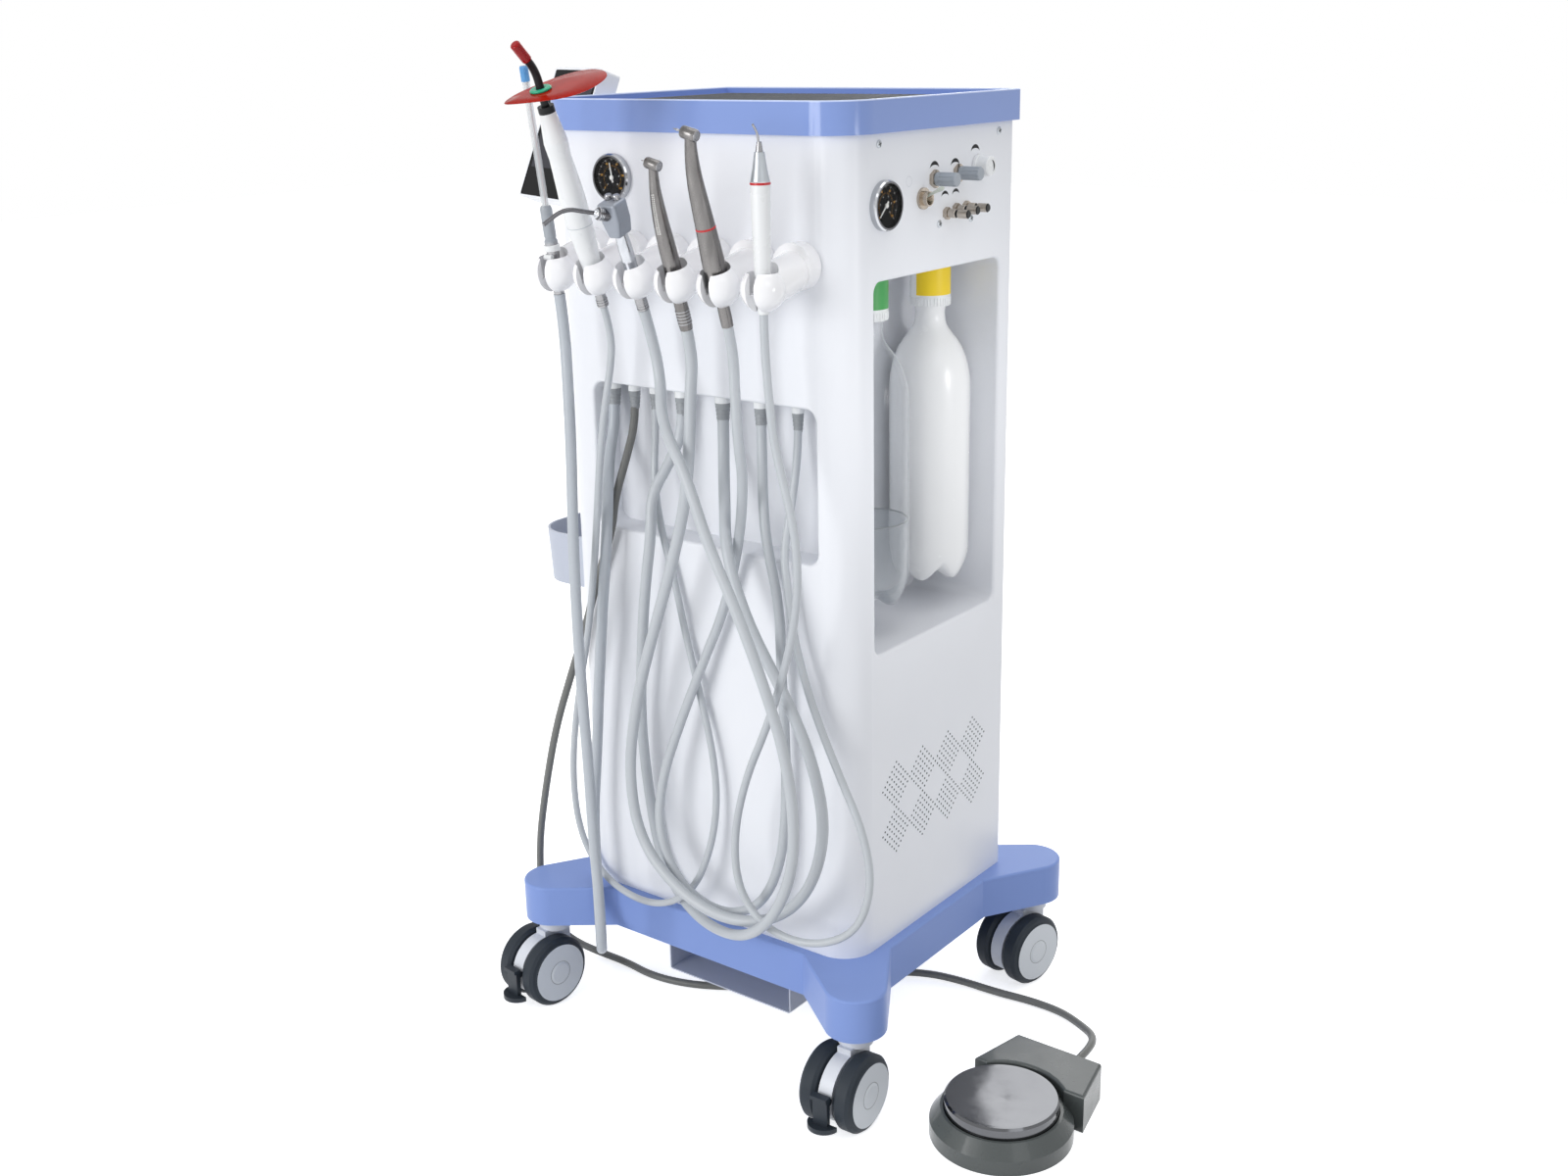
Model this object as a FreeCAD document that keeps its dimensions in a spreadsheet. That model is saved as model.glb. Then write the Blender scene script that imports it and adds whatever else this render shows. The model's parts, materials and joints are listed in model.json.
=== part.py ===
import FreeCAD, Part
import Sketcher
import math
import os
from FreeCAD import Placement, Rotation, Vector

# Portable dental unit: a white cabinet on a four-legged blue base with twin-wheel
# casters, a blue top tray, six holders with their instruments, two hanging bottles in
# a side alcove, a tilting touch panel and a pneumatic foot pedal on a hose.
#
# Millimetres. +Z is up, the instruments face -Y, the bottles are on the +X side.
# Places are given from the cabinet's centre line on the floor; frame_x and frame_y
# move the whole unit so that the origin lies under the middle of its outline.

doc = FreeCAD.newDocument("dental_unit")
sheet = doc.addObject("Spreadsheet::Sheet", "sizes")

SIZES = {
    # reference frame
    "frame_x": -42.5,
    "frame_y": 42.45,
    # cabinet shell
    "cabinet_width": 348.0,
    "cabinet_depth": 275.0,
    "cabinet_bottom": 134.5,
    "cabinet_top": 906.0,
    "cabinet_wall": 4.0,
    "front_corner": 34.0,
    "back_corner": 5.0,
    # hose recess in the front
    "recess_left_margin": 46.0,
    "recess_right_margin": 36.0,
    "recess_bottom": 527.5,
    "recess_top": 671.0,
    "recess_depth": 34.0,
    "recess_corner": 12.0,
    # bottle alcove in the right side
    "alcove_front_margin": 40.3,
    "alcove_back_margin": 22.9,
    "alcove_bottom": 436.8,
    "alcove_top": 780.2,
    "alcove_depth": 96.0,
    "alcove_corner": 10.0,
    "lip_round": 3.0,
    # service opening and its cover in the back
    "service_width": 290.0,
    "service_bottom": 170.0,
    "service_top": 880.0,
    "cover_overlap": 10.0,
    "cover_thickness": 2.0,
    "cover_screw_hole": 4.5,
    "louver_count": 8,
    "louver_pitch": 14.0,
    "louver_length": 120.0,
    "louver_height": 4.0,
    "louver_bottom": 250.0,
    # tray
    "tray_height": 28.5,
    "tray_side": 5.0,
    "tray_front": 7.0,
    "tray_wall": 4.0,
    "tray_depth": 8.5,
    "tray_floor": 3.0,
    "tray_skirt": 12.0,
    "mat_thickness": 3.0,
    "mat_gap": 14.0,
    "rib_pitch": 9.0,
    "rib_groove": 3.0,
    "rib_depth": 1.2,
    # base
    "beam_out": 10.0,
    "beam_bottom": 90.0,
    "leg_bottom": 91.0,
    "leg_front_in": 53.0,
    "leg_side_in": 50.5,
    "leg_tip": 30.0,
    "base_round": 2.5,
    "stem_out_x": 23.0,
    "stem_out_y": 29.0,
    "core_half": 95.0,
    "core_rim": 18.0,
    "core_depth": 34.0,
    # pedal shelf under the base
    "shelf_half": 80.0,
    "shelf_front": -115.0,
    "shelf_length": 175.0,
    "shelf_bottom": 38.0,
    "sheet": 1.5,
    "shelf_flange": 12.0,
    # side bin
    "bin_width": 77.0,
    "bin_front": -110.0,
    "bin_length": 140.0,
    "bin_top": 499.0,
    "bin_height": 55.0,
    "bin_wall": 2.5,
    "bin_taper": 3.0,
    "bin_round": 38.0,
    "wall_gap": 0.2,
    # casters
    "wheel_radius": 38.0,
    "tread": 6.8,
    "wheel_half": 30.0,
    "wheel_inner": 9.0,
    "hub_boss": 12.0,
    "boss_raise": 1.0,
    "axle_radius": 4.0,
    "axle_clearance": 0.05,
    "caster_trail": 20.5,
    "fender_radius": 34.0,
    "fender_half": 7.5,
    "collar_radius": 17.0,
    "collar_bottom": 77.0,
    "caster_gap": 0.4,
    "stem_radius": 5.5,
    "stem_length": 24.0,
    "stem_clearance": 0.05,
    "yaw_front_right": 1.9,
    "yaw_front_left": -6.8,
    "yaw_back_right": -11.6,
    "yaw_back_left": 6.0,
    # brake levers of the front casters
    "brake_half": 8.0,
    "brake_back": 57.2,
    "brake_thickness": 5.0,
    "brake_top": 49.0,
    "brake_bottom": 15.0,
    "brake_pin_y": 56.0,
    "brake_pin_z": 42.0,
    "brake_pin": 3.4,
    "brake_clearance": 0.05,
    "brake_foot": 16.0,
    "brake_foot_thickness": 5.0,
    "brake_foot_y": 55.0,
    # instrument holders
    "holder_first": -115.5,
    "holder_pitch": 48.2,
    "holder_boss_z": 797.0,
    "holder_out": 54.5,
    "holder_z": 783.5,
    "ball_radius": 19.5,
    "arm_radius": 17.5,
    "collar_length": 15.0,
    "boss_radius": 21.0,
    "seat_depth": 4.0,
    "seat_radius": 13.5,
    "slot_width": 9.0,
    "hole_play": 0.8,
    "rest_gap": 0.3,
    # gauges
    "gauge_bezel": 21.8,
    "gauge_body": 19.8,
    "gauge_body_length": 25.0,
    "gauge_lip": 6.5,
    "gauge_dial": 2.0,
    "gauge_window": 18.9,
    "glass_gap": 0.1,
    "glass_thickness": 1.0,
    "needle_length": 13.5,
    "front_reading": 10.0,
    "side_reading": 135.0,
    "needle_hub": 2.0,
    "spindle": 0.8,
    "spindle_clearance": 0.05,
    "front_gauge_x": -88.0,
    "front_gauge_z": 864.4,
    "side_gauge_y": -82.7,
    "side_gauge_z": 845.1,
    "panel_play": 0.3,
    # side panel controls
    "toggle_y": -21.6,
    "toggle_z": 846.1,
    "toggle_radius": 6.5,
    "toggle_rise": 8.0,
    "toggle_length": 24.0,
    "toggle_tilt": 25.0,
    "toggle_ball": 2.6,
    "toggle_pin": 0.8,
    "nut_across": 14.0,
    "nut_height": 4.0,
    "knob_radius": 6.2,
    "knob_length": 25.0,
    "knob_shaft": 3.0,
    "knob_gap": 0.3,
    "shaft_inside": 12.0,
    "flute_radius": 1.4,
    "flute_count": 10,
    "scaler_knob_radius": 9.5,
    "scaler_knob_length": 15.0,
    "valve_radius": 4.0,
    "valve_length": 25.0,
    # bottles
    "bottle_in": 52.0,
    "bottle_rear_gap": 41.1,
    "bottle_front_gap": 63.7,
    "bottle_radius": 39.4,
    "bottle_under": 20.7,
    "bottle_wall": 1.5,
    "bottle_dome": 38.0,
    "bottle_neck": 14.0,
    "neck_length": 6.5,
    "neck_in_cap": 25.5,
    "collar_under_cap": 14.0,
    "cap_radius": 19.5,
    "cap_height": 43.7,
    "cap_flange": 26.0,
    "cap_flange_height": 4.0,
    "neck_clearance": 0.3,
    "tube_radius": 2.5,
    "tube_above_floor": 12.0,
    # touch panel
    "panel_width": 107.0,
    "panel_height": 136.5,
    "panel_thickness": 22.0,
    "panel_round": 4.0,
    "panel_out": 78.0,
    "panel_y": -37.5,
    "panel_z": 895.0,
    "panel_yaw": -21.2,
    "panel_tilt": 21.7,
    "glass_inset": 2.5,
    "hinge_behind": 12.0,
    "hinge_half": 9.0,
    "hinge_radius": 8.0,
    "hinge_pin": 3.0,
    "hinge_clearance": 0.05,
    "ear_thickness": 5.0,
    "post_out": 40.0,
    "post_y": -10.0,
    "post_top": 868.0,
    "post_radius": 11.0,
    "bracket_thickness": 22.0,
    "bracket_width": 44.0,
    "bracket_plate": 4.0,
    "bracket_height": 60.0,
    # foot pedal
    "pedal_x": 328.0,
    "pedal_in": 20.5,
    "ring_radius": 67.5,
    "ring_wall": 15.0,
    "ring_top": 28.0,
    "ring_shoulder": 57.5,
    "pedal_floor": 4.0,
    "disc_radius": 54.0,
    "disc_top": 39.5,
    "disc_rim": 15.0,
    "disc_gap": 0.6,
    "disc_stem": 9.0,
    "disc_travel": 6.0,
    "disc_dish": 2.0,
    "block_height": 38.3,
    "block_back": 104.0,
    "block_back_half": 46.0,
    "block_front": 43.0,
    "block_front_half": 59.0,
    "block_scoop": 60.0,
    "block_shift": 4.0,
    "block_round": 3.0,
    "relief_x": 15.0,
    "relief_z": 20.0,
    "relief_length": 18.0,
    "relief_radius": 7.5,
    # compressor in the cabinet
    "tank_radius": 52.0,
    "tank_length": 210.0,
    "tank_x": -50.0,
    "tank_y": 30.0,
    "tank_z": 200.0,
    "motor_radius": 40.0,
    "motor_height": 120.0,
    "foot_width": 40.0,
    # hoses
    "gland_wall": 2.0,
    "gland_length": 8.0,
    "gland_in": 17.5,
    "first_gland_in": 11.0,
    "last_gland_in": 32.0,
    "hose_end_gap": 0.3,
    "hose_lead": 30.0,
    "route_width": 348.0,
    "route_depth": 275.0,
    "suction_hose": 11.0,
    "curing_hose": 7.0,
    "syringe_hose": 10.5,
    "turbine_hose": 11.0,
    "motor_hose": 9.5,
    "scaler_hose": 7.5,
    "foot_hose": 8.0,
}

for row, (alias, number) in enumerate(SIZES.items(), start=1):
    sheet.set(f"A{row}", alias)
    sheet.set(f"B{row}", str(number))
    sheet.setAlias(f"B{row}", alias)
doc.recompute()


class Formula:
    """A length kept both as a formula over the sheet and as its present number."""

    def __init__(self, text, number):
        self.text = text
        self.number = number

    def __add__(self, other):
        other = formula(other)
        return Formula(f"({self.text} + {other.text})", self.number + other.number)

    def __sub__(self, other):
        other = formula(other)
        return Formula(f"({self.text} - {other.text})", self.number - other.number)

    def __mul__(self, other):
        other = formula(other)
        return Formula(f"({self.text} * {other.text})", self.number * other.number)

    def __truediv__(self, other):
        other = formula(other)
        return Formula(f"({self.text} / {other.text})", self.number / other.number)

    def __neg__(self):
        return Formula(f"(0 - {self.text})", -self.number)

    def __radd__(self, other):
        return formula(other) + self

    def __rsub__(self, other):
        return formula(other) - self

    def __rmul__(self, other):
        return formula(other) * self

    def __float__(self):
        return float(self.number)


def formula(value):
    """Take a plain number as a formula too."""
    if isinstance(value, Formula):
        return value
    return Formula(repr(float(value)), float(value))


def size(alias):
    """One cell of the sheet."""
    return Formula(f"sizes.{alias}", float(sheet.get(alias)))


def bind(thing, **lengths):
    """Tie properties of a document object to formulas over the sheet."""
    for name, value in lengths.items():
        thing.setExpression(name, formula(value).text)


def put(thing, x=0, y=0, z=0, turn=None):
    """Place an object inside a sub-part, at a point worked out from the sheet."""
    if turn is not None:
        thing.Placement = Placement(Vector(0, 0, 0), turn)
    for axis, value in zip("xyz", (x, y, z)):
        thing.setExpression(f"Placement.Base.{axis}", formula(value).text)
    return thing


def seat(thing, x=0, y=0, z=0, turn=None):
    """Place a finished sub-part in the unit's frame."""
    return put(thing, size("frame_x") + x, size("frame_y") + y, z, turn)


NODES = []


def finish(thing, label):
    """Give a finished sub-part its name, which is also its file's name."""
    thing.Label = label
    NODES.append(thing)
    return thing


# ---------------------------------------------------------------- sketches and features

ALONG_X = Rotation(Vector(0, 1, 0), 90)
ALONG_MINUS_Y = Rotation(Vector(1, 0, 0), 90)


def new_body(name):
    return doc.addObject("PartDesign::Body", name)


def new_sketch(body, name, plane, offset=0):
    """A sketch on one of the body's own origin planes, moved along its normal."""
    made = body.newObject("Sketcher::SketchObject", name)
    role = f"{plane}_Plane"
    for feature in body.Origin.OriginFeatures:
        if feature.Role == role:
            made.AttachmentSupport = [(feature, "")]
    made.MapMode = "FlatFace"
    made.setExpression("AttachmentOffset.Base.z", formula(offset).text)
    return made


def fix(sketch, kind, *where, value):
    """A driving dimension tied to the sheet."""
    value = formula(value)
    index = sketch.addConstraint(Sketcher.Constraint(kind, *where, value.number))
    sketch.setExpression(f"Constraints[{index}]", value.text)


def outline(sketch, corners):
    """A closed chain of straight lines through corners given as formulas."""
    points = [(formula(x), formula(y)) for x, y in corners]
    first = sketch.GeometryCount
    count = len(points)
    for here in range(count):
        start = points[here]
        stop = points[(here + 1) % count]
        line = Part.LineSegment(Vector(float(start[0]), float(start[1]), 0),
                                Vector(float(stop[0]), float(stop[1]), 0))
        sketch.addGeometry(line, False)
    for here in range(count):
        following = first + (here + 1) % count
        sketch.addConstraint(Sketcher.Constraint("Coincident", first + here, 2, following, 1))
    for here, (x, y) in enumerate(points):
        fix(sketch, "DistanceX", -1, 1, first + here, 1, value=x)
        fix(sketch, "DistanceY", -1, 1, first + here, 1, value=y)


def circle(sketch, x, y, radius):
    x, y, radius = formula(x), formula(y), formula(radius)
    index = sketch.GeometryCount
    centre = Vector(float(x), float(y), 0)
    sketch.addGeometry(Part.Circle(centre, Vector(0, 0, 1), float(radius)), False)
    fix(sketch, "DistanceX", -1, 1, index, 3, value=x)
    fix(sketch, "DistanceY", -1, 1, index, 3, value=y)
    fix(sketch, "Radius", index, value=radius)


def rounded_rectangle(sketch, x0, x1, y0, y1, radii):
    """A rectangle whose corners, from (x0, y0) anticlockwise, have their own radii."""
    x0, x1, y0, y1 = (formula(value) for value in (x0, x1, y0, y1))
    radii = [formula(radius) for radius in radii]
    left, right, low, high = float(x0), float(x1), float(y0), float(y1)
    reach = [float(radius) for radius in radii]
    ends = (
        ((left + reach[0], low), (right - reach[1], low)),
        ((right, low + reach[1]), (right, high - reach[2])),
        ((right - reach[2], high), (left + reach[3], high)),
        ((left, high - reach[3]), (left, low + reach[0])),
    )
    centres = (
        (left + reach[0], low + reach[0]),
        (right - reach[1], low + reach[1]),
        (right - reach[2], high - reach[2]),
        (left + reach[3], high - reach[3]),
    )
    lines = []
    for start, stop in ends:
        lines.append(sketch.GeometryCount)
        sketch.addGeometry(Part.LineSegment(Vector(*start, 0), Vector(*stop, 0)), False)
    for index, kind in zip(lines, ("Horizontal", "Vertical", "Horizontal", "Vertical")):
        sketch.addConstraint(Sketcher.Constraint(kind, index))
    for corner in range(4):
        before = lines[corner - 1]
        after = lines[corner]
        if reach[corner] == 0:
            sketch.addConstraint(Sketcher.Constraint("Coincident", before, 2, after, 1))
            continue
        ring = Part.Circle(Vector(*centres[corner], 0), Vector(0, 0, 1), reach[corner])
        start = math.pi + corner * math.pi / 2
        arc = sketch.GeometryCount
        sketch.addGeometry(Part.ArcOfCircle(ring, start, start + math.pi / 2), False)
        sketch.addConstraint(Sketcher.Constraint("Tangent", before, 2, arc, 1))
        sketch.addConstraint(Sketcher.Constraint("Tangent", arc, 2, after, 1))
        fix(sketch, "Radius", arc, value=radii[corner])
    fix(sketch, "DistanceY", -1, 1, lines[0], 1, value=y0)
    fix(sketch, "DistanceX", -1, 1, lines[1], 1, value=x1)
    fix(sketch, "DistanceY", -1, 1, lines[2], 1, value=y1)
    fix(sketch, "DistanceX", -1, 1, lines[3], 1, value=x0)


def extrude(body, sketch, length, kind="Pad", back=False, middle=False):
    """Pad or pocket a sketch; back=True sends it the other way."""
    made = body.newObject(f"PartDesign::{kind}", f"{sketch.Name}_{kind.lower()}")
    made.Profile = sketch
    made.Reversed = back
    if middle:
        made.Midplane = True
    bind(made, Length=length)
    return made


def revolve(body, sketch, axis="V_Axis"):
    made = body.newObject("PartDesign::Revolution", f"{sketch.Name}_revolution")
    made.Profile = sketch
    made.ReferenceAxis = (sketch, [axis])
    made.Angle = 360
    return made


def edges_where(feature, test):
    """Names of the edges whose middle point and direction pass a test."""
    names = []
    for number, edge in enumerate(feature.Shape.Edges, start=1):
        start, stop = edge.ParameterRange
        middle = edge.valueAt((start + stop) / 2)
        direction = edge.tangentAt((start + stop) / 2)
        if test(middle, direction):
            names.append(f"Edge{number}")
    return names


def dress(body, feature, test, radius, kind="Fillet"):
    """Round or chamfer the edges of a feature that pass a test."""
    doc.recompute()
    made = body.newObject(f"PartDesign::{kind}", f"{feature.Name}_{kind.lower()}")
    made.Base = (feature, edges_where(feature, test))
    if kind == "Fillet":
        bind(made, Radius=radius)
    else:
        bind(made, Size=radius)
    return made


def turned(name, profile):
    """A body turned about its own Z axis from (radius, height) corners."""
    body = new_body(name)
    sketch = new_sketch(body, f"{name}_profile", "XZ")
    outline(sketch, profile)
    revolve(body, sketch)
    return body


def fluted(body, name, count, radius, pitch_radius, low, length):
    """Flutes cut round a turned grip by one groove and a polar pattern."""
    doc.recompute()
    sketch = new_sketch(body, f"{name}_flute", "XY", low)
    circle(sketch, pitch_radius, 0, radius)
    cut = extrude(body, sketch, length, kind="Pocket", back=True)
    pattern = body.newObject("PartDesign::PolarPattern", f"{name}_flutes")
    pattern.Originals = [cut]
    pattern.Axis = (sketch, ["N_Axis"])
    pattern.Angle = 360
    bind(pattern, Occurrences=count)
    body.Tip = pattern
    return pattern


# ---------------------------------------------------------------- Part primitives


def block(name, x0, x1, y0, y1, z0, z1):
    made = doc.addObject("Part::Box", name)
    x0, x1, y0, y1, z0, z1 = (formula(value) for value in (x0, x1, y0, y1, z0, z1))
    bind(made, Length=x1 - x0, Width=y1 - y0, Height=z1 - z0)
    return put(made, x0, y0, z0)


def cylinder(name, radius, length, x=0, y=0, z=0, turn=None):
    made = doc.addObject("Part::Cylinder", name)
    bind(made, Radius=radius, Height=length)
    return put(made, x, y, z, turn)


def sphere(name, radius, x=0, y=0, z=0):
    made = doc.addObject("Part::Sphere", name)
    bind(made, Radius=radius)
    return put(made, x, y, z)


def fuse(name, *shapes):
    made = doc.addObject("Part::MultiFuse", name)
    made.Shapes = list(shapes)
    made.Refine = True
    return made


def cut(name, base, *tools):
    made = doc.addObject("Part::Cut", name)
    made.Base = base
    made.Tool = tools[0] if len(tools) == 1 else fuse(f"{name}_tools", *tools)
    made.Refine = True
    return made


def group(name, *shapes):
    """Several separate solids in one node."""
    made = doc.addObject("Part::Compound", name)
    made.Links = list(shapes)
    return made


# ---------------------------------------------------------------- shared lines

half_width = size("cabinet_width") / 2
half_depth = size("cabinet_depth") / 2
wall = size("cabinet_wall")
base_half_x = half_width + size("beam_out")
base_half_y = half_depth + size("beam_out")
tray_top = size("cabinet_top") + size("tray_height")
stem_x = half_width + size("stem_out_x")
stem_y = half_depth + size("stem_out_y")
leg_front = half_width - size("leg_front_in")
leg_side = half_depth - size("leg_side_in")
recess_left = size("recess_left_margin") - half_width
recess_right = half_width - size("recess_right_margin")
alcove_front = size("alcove_front_margin") - half_depth
alcove_back = half_depth - size("alcove_back_margin")
holder_y = -half_depth - size("holder_out")
bottle_x = half_width - size("bottle_in")
bottle_places = (("milky", alcove_back - size("bottle_rear_gap")),
                 ("clear", alcove_front + size("bottle_front_gap")))
gland_y = size("gland_in") - half_depth
pedal_y = size("pedal_in") - half_depth
panel_x = -half_width - size("panel_out")
post_x = -half_width - size("post_out")


# ---------------------------------------------------------------- base


def tangent_point(point, centre, radius, side):
    """Where a line from a point touches a circle, on the left (+1) or right (-1)."""
    run = point.sub(centre)
    reach = math.acos(radius / run.Length)
    angle = math.atan2(run.y, run.x) + side * reach
    return centre.add(Vector(math.cos(angle), math.sin(angle), 0).multiply(radius))


def leg_outline(sketch, side_x, side_y):
    """One diagonal leg: two flanks that run tangent into a round tip."""
    front = (side_x * leg_front, side_y * base_half_y)
    flank = (side_x * base_half_x, side_y * leg_side)
    inner = (side_x * leg_front, side_y * leg_side)
    stem = (side_x * stem_x, side_y * stem_y)
    radius = size("leg_tip")
    start, stop, corner, centre = (
        Vector(float(x), float(y), 0) for x, y in (front, flank, inner, stem))
    turn = side_x * side_y
    first = tangent_point(start, centre, float(radius), -turn)
    last = tangent_point(stop, centre, float(radius), turn)
    angles = [math.atan2(p.y - centre.y, p.x - centre.x) for p in (first, last)]
    if turn > 0:
        angles.reverse()
    if angles[1] < angles[0]:
        angles[1] += 2 * math.pi
    ring = Part.Circle(centre, Vector(0, 0, 1), float(radius))
    sketch.addGeometry(Part.LineSegment(start, first), False)
    sketch.addGeometry(Part.ArcOfCircle(ring, angles[0], angles[1]), False)
    sketch.addGeometry(Part.LineSegment(last, stop), False)
    sketch.addGeometry(Part.LineSegment(stop, corner), False)
    sketch.addGeometry(Part.LineSegment(corner, start), False)
    begin, end = (2, 1) if turn > 0 else (1, 2)
    for joint in (("Tangent", 0, 2, 1, begin), ("Tangent", 1, end, 2, 1),
                  ("Coincident", 2, 2, 3, 1), ("Coincident", 3, 2, 4, 1),
                  ("Coincident", 4, 2, 0, 1)):
        sketch.addConstraint(Sketcher.Constraint(*joint))
    for index, place, (x, y) in ((0, 1, front), (2, 2, flank), (3, 2, inner), (1, 3, stem)):
        fix(sketch, "DistanceX", -1, 1, index, place, value=x)
        fix(sketch, "DistanceY", -1, 1, index, place, value=y)
    fix(sketch, "Radius", 1, value=radius)


def make_base():
    body = new_body("base_frame")
    deck = new_sketch(body, "deck", "XY", size("beam_bottom"))
    rounded_rectangle(deck, -base_half_x, base_half_x, -base_half_y, base_half_y, (0, 0, 0, 0))
    extrude(body, deck, size("cabinet_bottom") - size("beam_bottom"))
    for number, (side_x, side_y) in enumerate(((1, -1), (1, 1), (-1, 1), (-1, -1))):
        leg = new_sketch(body, f"leg_{number}", "XY", size("leg_bottom"))
        leg_outline(leg, side_x, side_y)
        cast = extrude(body, leg, size("cabinet_bottom") - size("leg_bottom"))
    top_z = float(size("cabinet_bottom")) - 0.01
    dress(body, cast, lambda middle, direction: middle.z > top_z, size("base_round"))
    for side in (-1, 1):
        core = new_sketch(body, "core", "XY", size("beam_bottom"))
        near = side * size("core_half")
        far = side * (base_half_x - size("core_rim"))
        rim_y = base_half_y - size("core_rim")
        low, high = (near, far) if side > 0 else (far, near)
        outline(core, ((low, -rim_y), (high, -rim_y), (high, rim_y), (low, rim_y)))
        extrude(body, core, size("core_depth"), kind="Pocket", back=True)
    sockets = new_sketch(body, "stem_sockets", "XY", size("beam_bottom"))
    for side_x in (-1, 1):
        for side_y in (-1, 1):
            circle(sockets, side_x * stem_x, side_y * stem_y,
                   size("stem_radius") + size("stem_clearance"))
    extrude(body, sockets, size("stem_length") + 2, kind="Pocket", back=True)
    return finish(seat(body), "base_frame")


# ---------------------------------------------------------------- cabinet


def make_cabinet():
    body = new_body("cabinet_shell")
    floor = size("cabinet_bottom")
    height = size("cabinet_top") - floor
    front, back = size("front_corner"), size("back_corner")
    outer = new_sketch(body, "outer", "XY", floor)
    rounded_rectangle(outer, -half_width, half_width, -half_depth, half_depth,
                      (front, front, back, back))
    extrude(body, outer, height)
    inner = new_sketch(body, "inner", "XY", size("cabinet_top"))
    rounded_rectangle(inner, wall - half_width, half_width - wall,
                      wall - half_depth, half_depth - wall,
                      (front - wall, front - wall, back - wall, back - wall))
    extrude(body, inner, height - wall, kind="Pocket")

    recess_shell = new_sketch(body, "recess_shell", "XZ", half_depth - wall)
    rounded_rectangle(recess_shell, recess_left - wall, recess_right + wall,
                      size("recess_bottom") - wall, size("recess_top") + wall, (0, 0, 0, 0))
    extrude(body, recess_shell, size("recess_depth"), back=True)
    alcove_shell = new_sketch(body, "alcove_shell", "YZ", half_width - wall)
    rounded_rectangle(alcove_shell, alcove_front - wall, alcove_back + wall,
                      size("alcove_bottom") - wall, size("alcove_top") + wall, (0, 0, 0, 0))
    extrude(body, alcove_shell, size("alcove_depth"), back=True)

    recess = new_sketch(body, "recess", "XZ", half_depth)
    corner = size("recess_corner")
    rounded_rectangle(recess, recess_left, recess_right,
                      size("recess_bottom"), size("recess_top"), (corner,) * 4)
    extrude(body, recess, size("recess_depth"), kind="Pocket")
    alcove = new_sketch(body, "alcove", "YZ", half_width)
    corner = size("alcove_corner")
    rounded_rectangle(alcove, alcove_front, alcove_back,
                      size("alcove_bottom"), size("alcove_top"), (corner,) * 4)
    hollow = extrude(body, alcove, size("alcove_depth"), kind="Pocket")

    def on_lip(middle, direction):
        deep_x = middle.x > float(half_width) - 0.01
        deep_y = middle.y < 0.01 - float(half_depth)
        in_alcove = (float(size("alcove_bottom")) - 1 < middle.z < float(size("alcove_top")) + 1)
        in_recess = (float(size("recess_bottom")) - 1 < middle.z < float(size("recess_top")) + 1)
        inside_x = float(recess_left) - 1 < middle.x < float(recess_right) + 1
        inside_y = float(alcove_front) - 1 < middle.y < float(alcove_back) + 1
        return (deep_x and in_alcove and inside_y) or (deep_y and in_recess and inside_x)

    dress(body, hollow, on_lip, size("lip_round"))

    front_holes = new_sketch(body, "front_holes", "XZ", half_depth)
    circle(front_holes, size("front_gauge_x"), size("front_gauge_z"),
           size("gauge_body") + size("panel_play"))
    extrude(body, front_holes, wall + 1, kind="Pocket")
    side_holes = new_sketch(body, "side_holes", "YZ", half_width)
    circle(side_holes, size("side_gauge_y"), size("side_gauge_z"),
           size("gauge_body") + size("panel_play"))
    for y, z, radius in PANEL_HOLES:
        circle(side_holes, y, z, radius + size("panel_play"))
    extrude(body, side_holes, wall + 1, kind="Pocket")

    service = new_sketch(body, "service", "XZ", -half_depth)
    service_half = size("service_width") / 2
    outline(service, ((-service_half, size("service_bottom")),
                      (service_half, size("service_bottom")),
                      (service_half, size("service_top")),
                      (-service_half, size("service_top"))))
    cover_screws(service)
    extrude(body, service, wall + 1, kind="Pocket", back=True)
    return finish(seat(body), "cabinet_shell")


def cover_screws(sketch):
    """The six screw places of the service cover, on its rim."""
    inset = size("cover_overlap") / 2
    half = size("service_width") / 2 + inset
    low = size("service_bottom") - inset
    high = size("service_top") + inset
    for x in (-half, half):
        for z in (low, (low + high) / 2, high):
            circle(sketch, x, z, size("cover_screw_hole") / 2)


def make_back_cover():
    body = new_body("back_cover")
    half = size("service_width") / 2 + size("cover_overlap")
    low = size("service_bottom") - size("cover_overlap")
    high = size("service_top") + size("cover_overlap")
    plate = new_sketch(body, "plate", "XZ", -half_depth)
    rounded_rectangle(plate, -half, half, low, high, (4, 4, 4, 4))
    cover_screws(plate)
    extrude(body, plate, size("cover_thickness"), back=True)
    doc.recompute()
    slot = new_sketch(body, "louver", "XZ", -half_depth - size("cover_thickness"))
    reach = size("louver_length") / 2
    bottom = size("louver_bottom")
    outline(slot, ((-reach, bottom), (reach, bottom), (reach, bottom + size("louver_height")),
                   (-reach, bottom + size("louver_height"))))
    opening = extrude(body, slot, 4 * size("cover_thickness"), kind="Pocket", middle=True)
    rows = body.newObject("PartDesign::LinearPattern", "louvers")
    rows.Originals = [opening]
    rows.Direction = (slot, ["V_Axis"])
    bind(rows, Occurrences=size("louver_count"),
         Length=size("louver_pitch") * (size("louver_count") - 1))
    body.Tip = rows
    return finish(seat(body), "back_cover")


# ---------------------------------------------------------------- tray, shelf and bin


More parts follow.
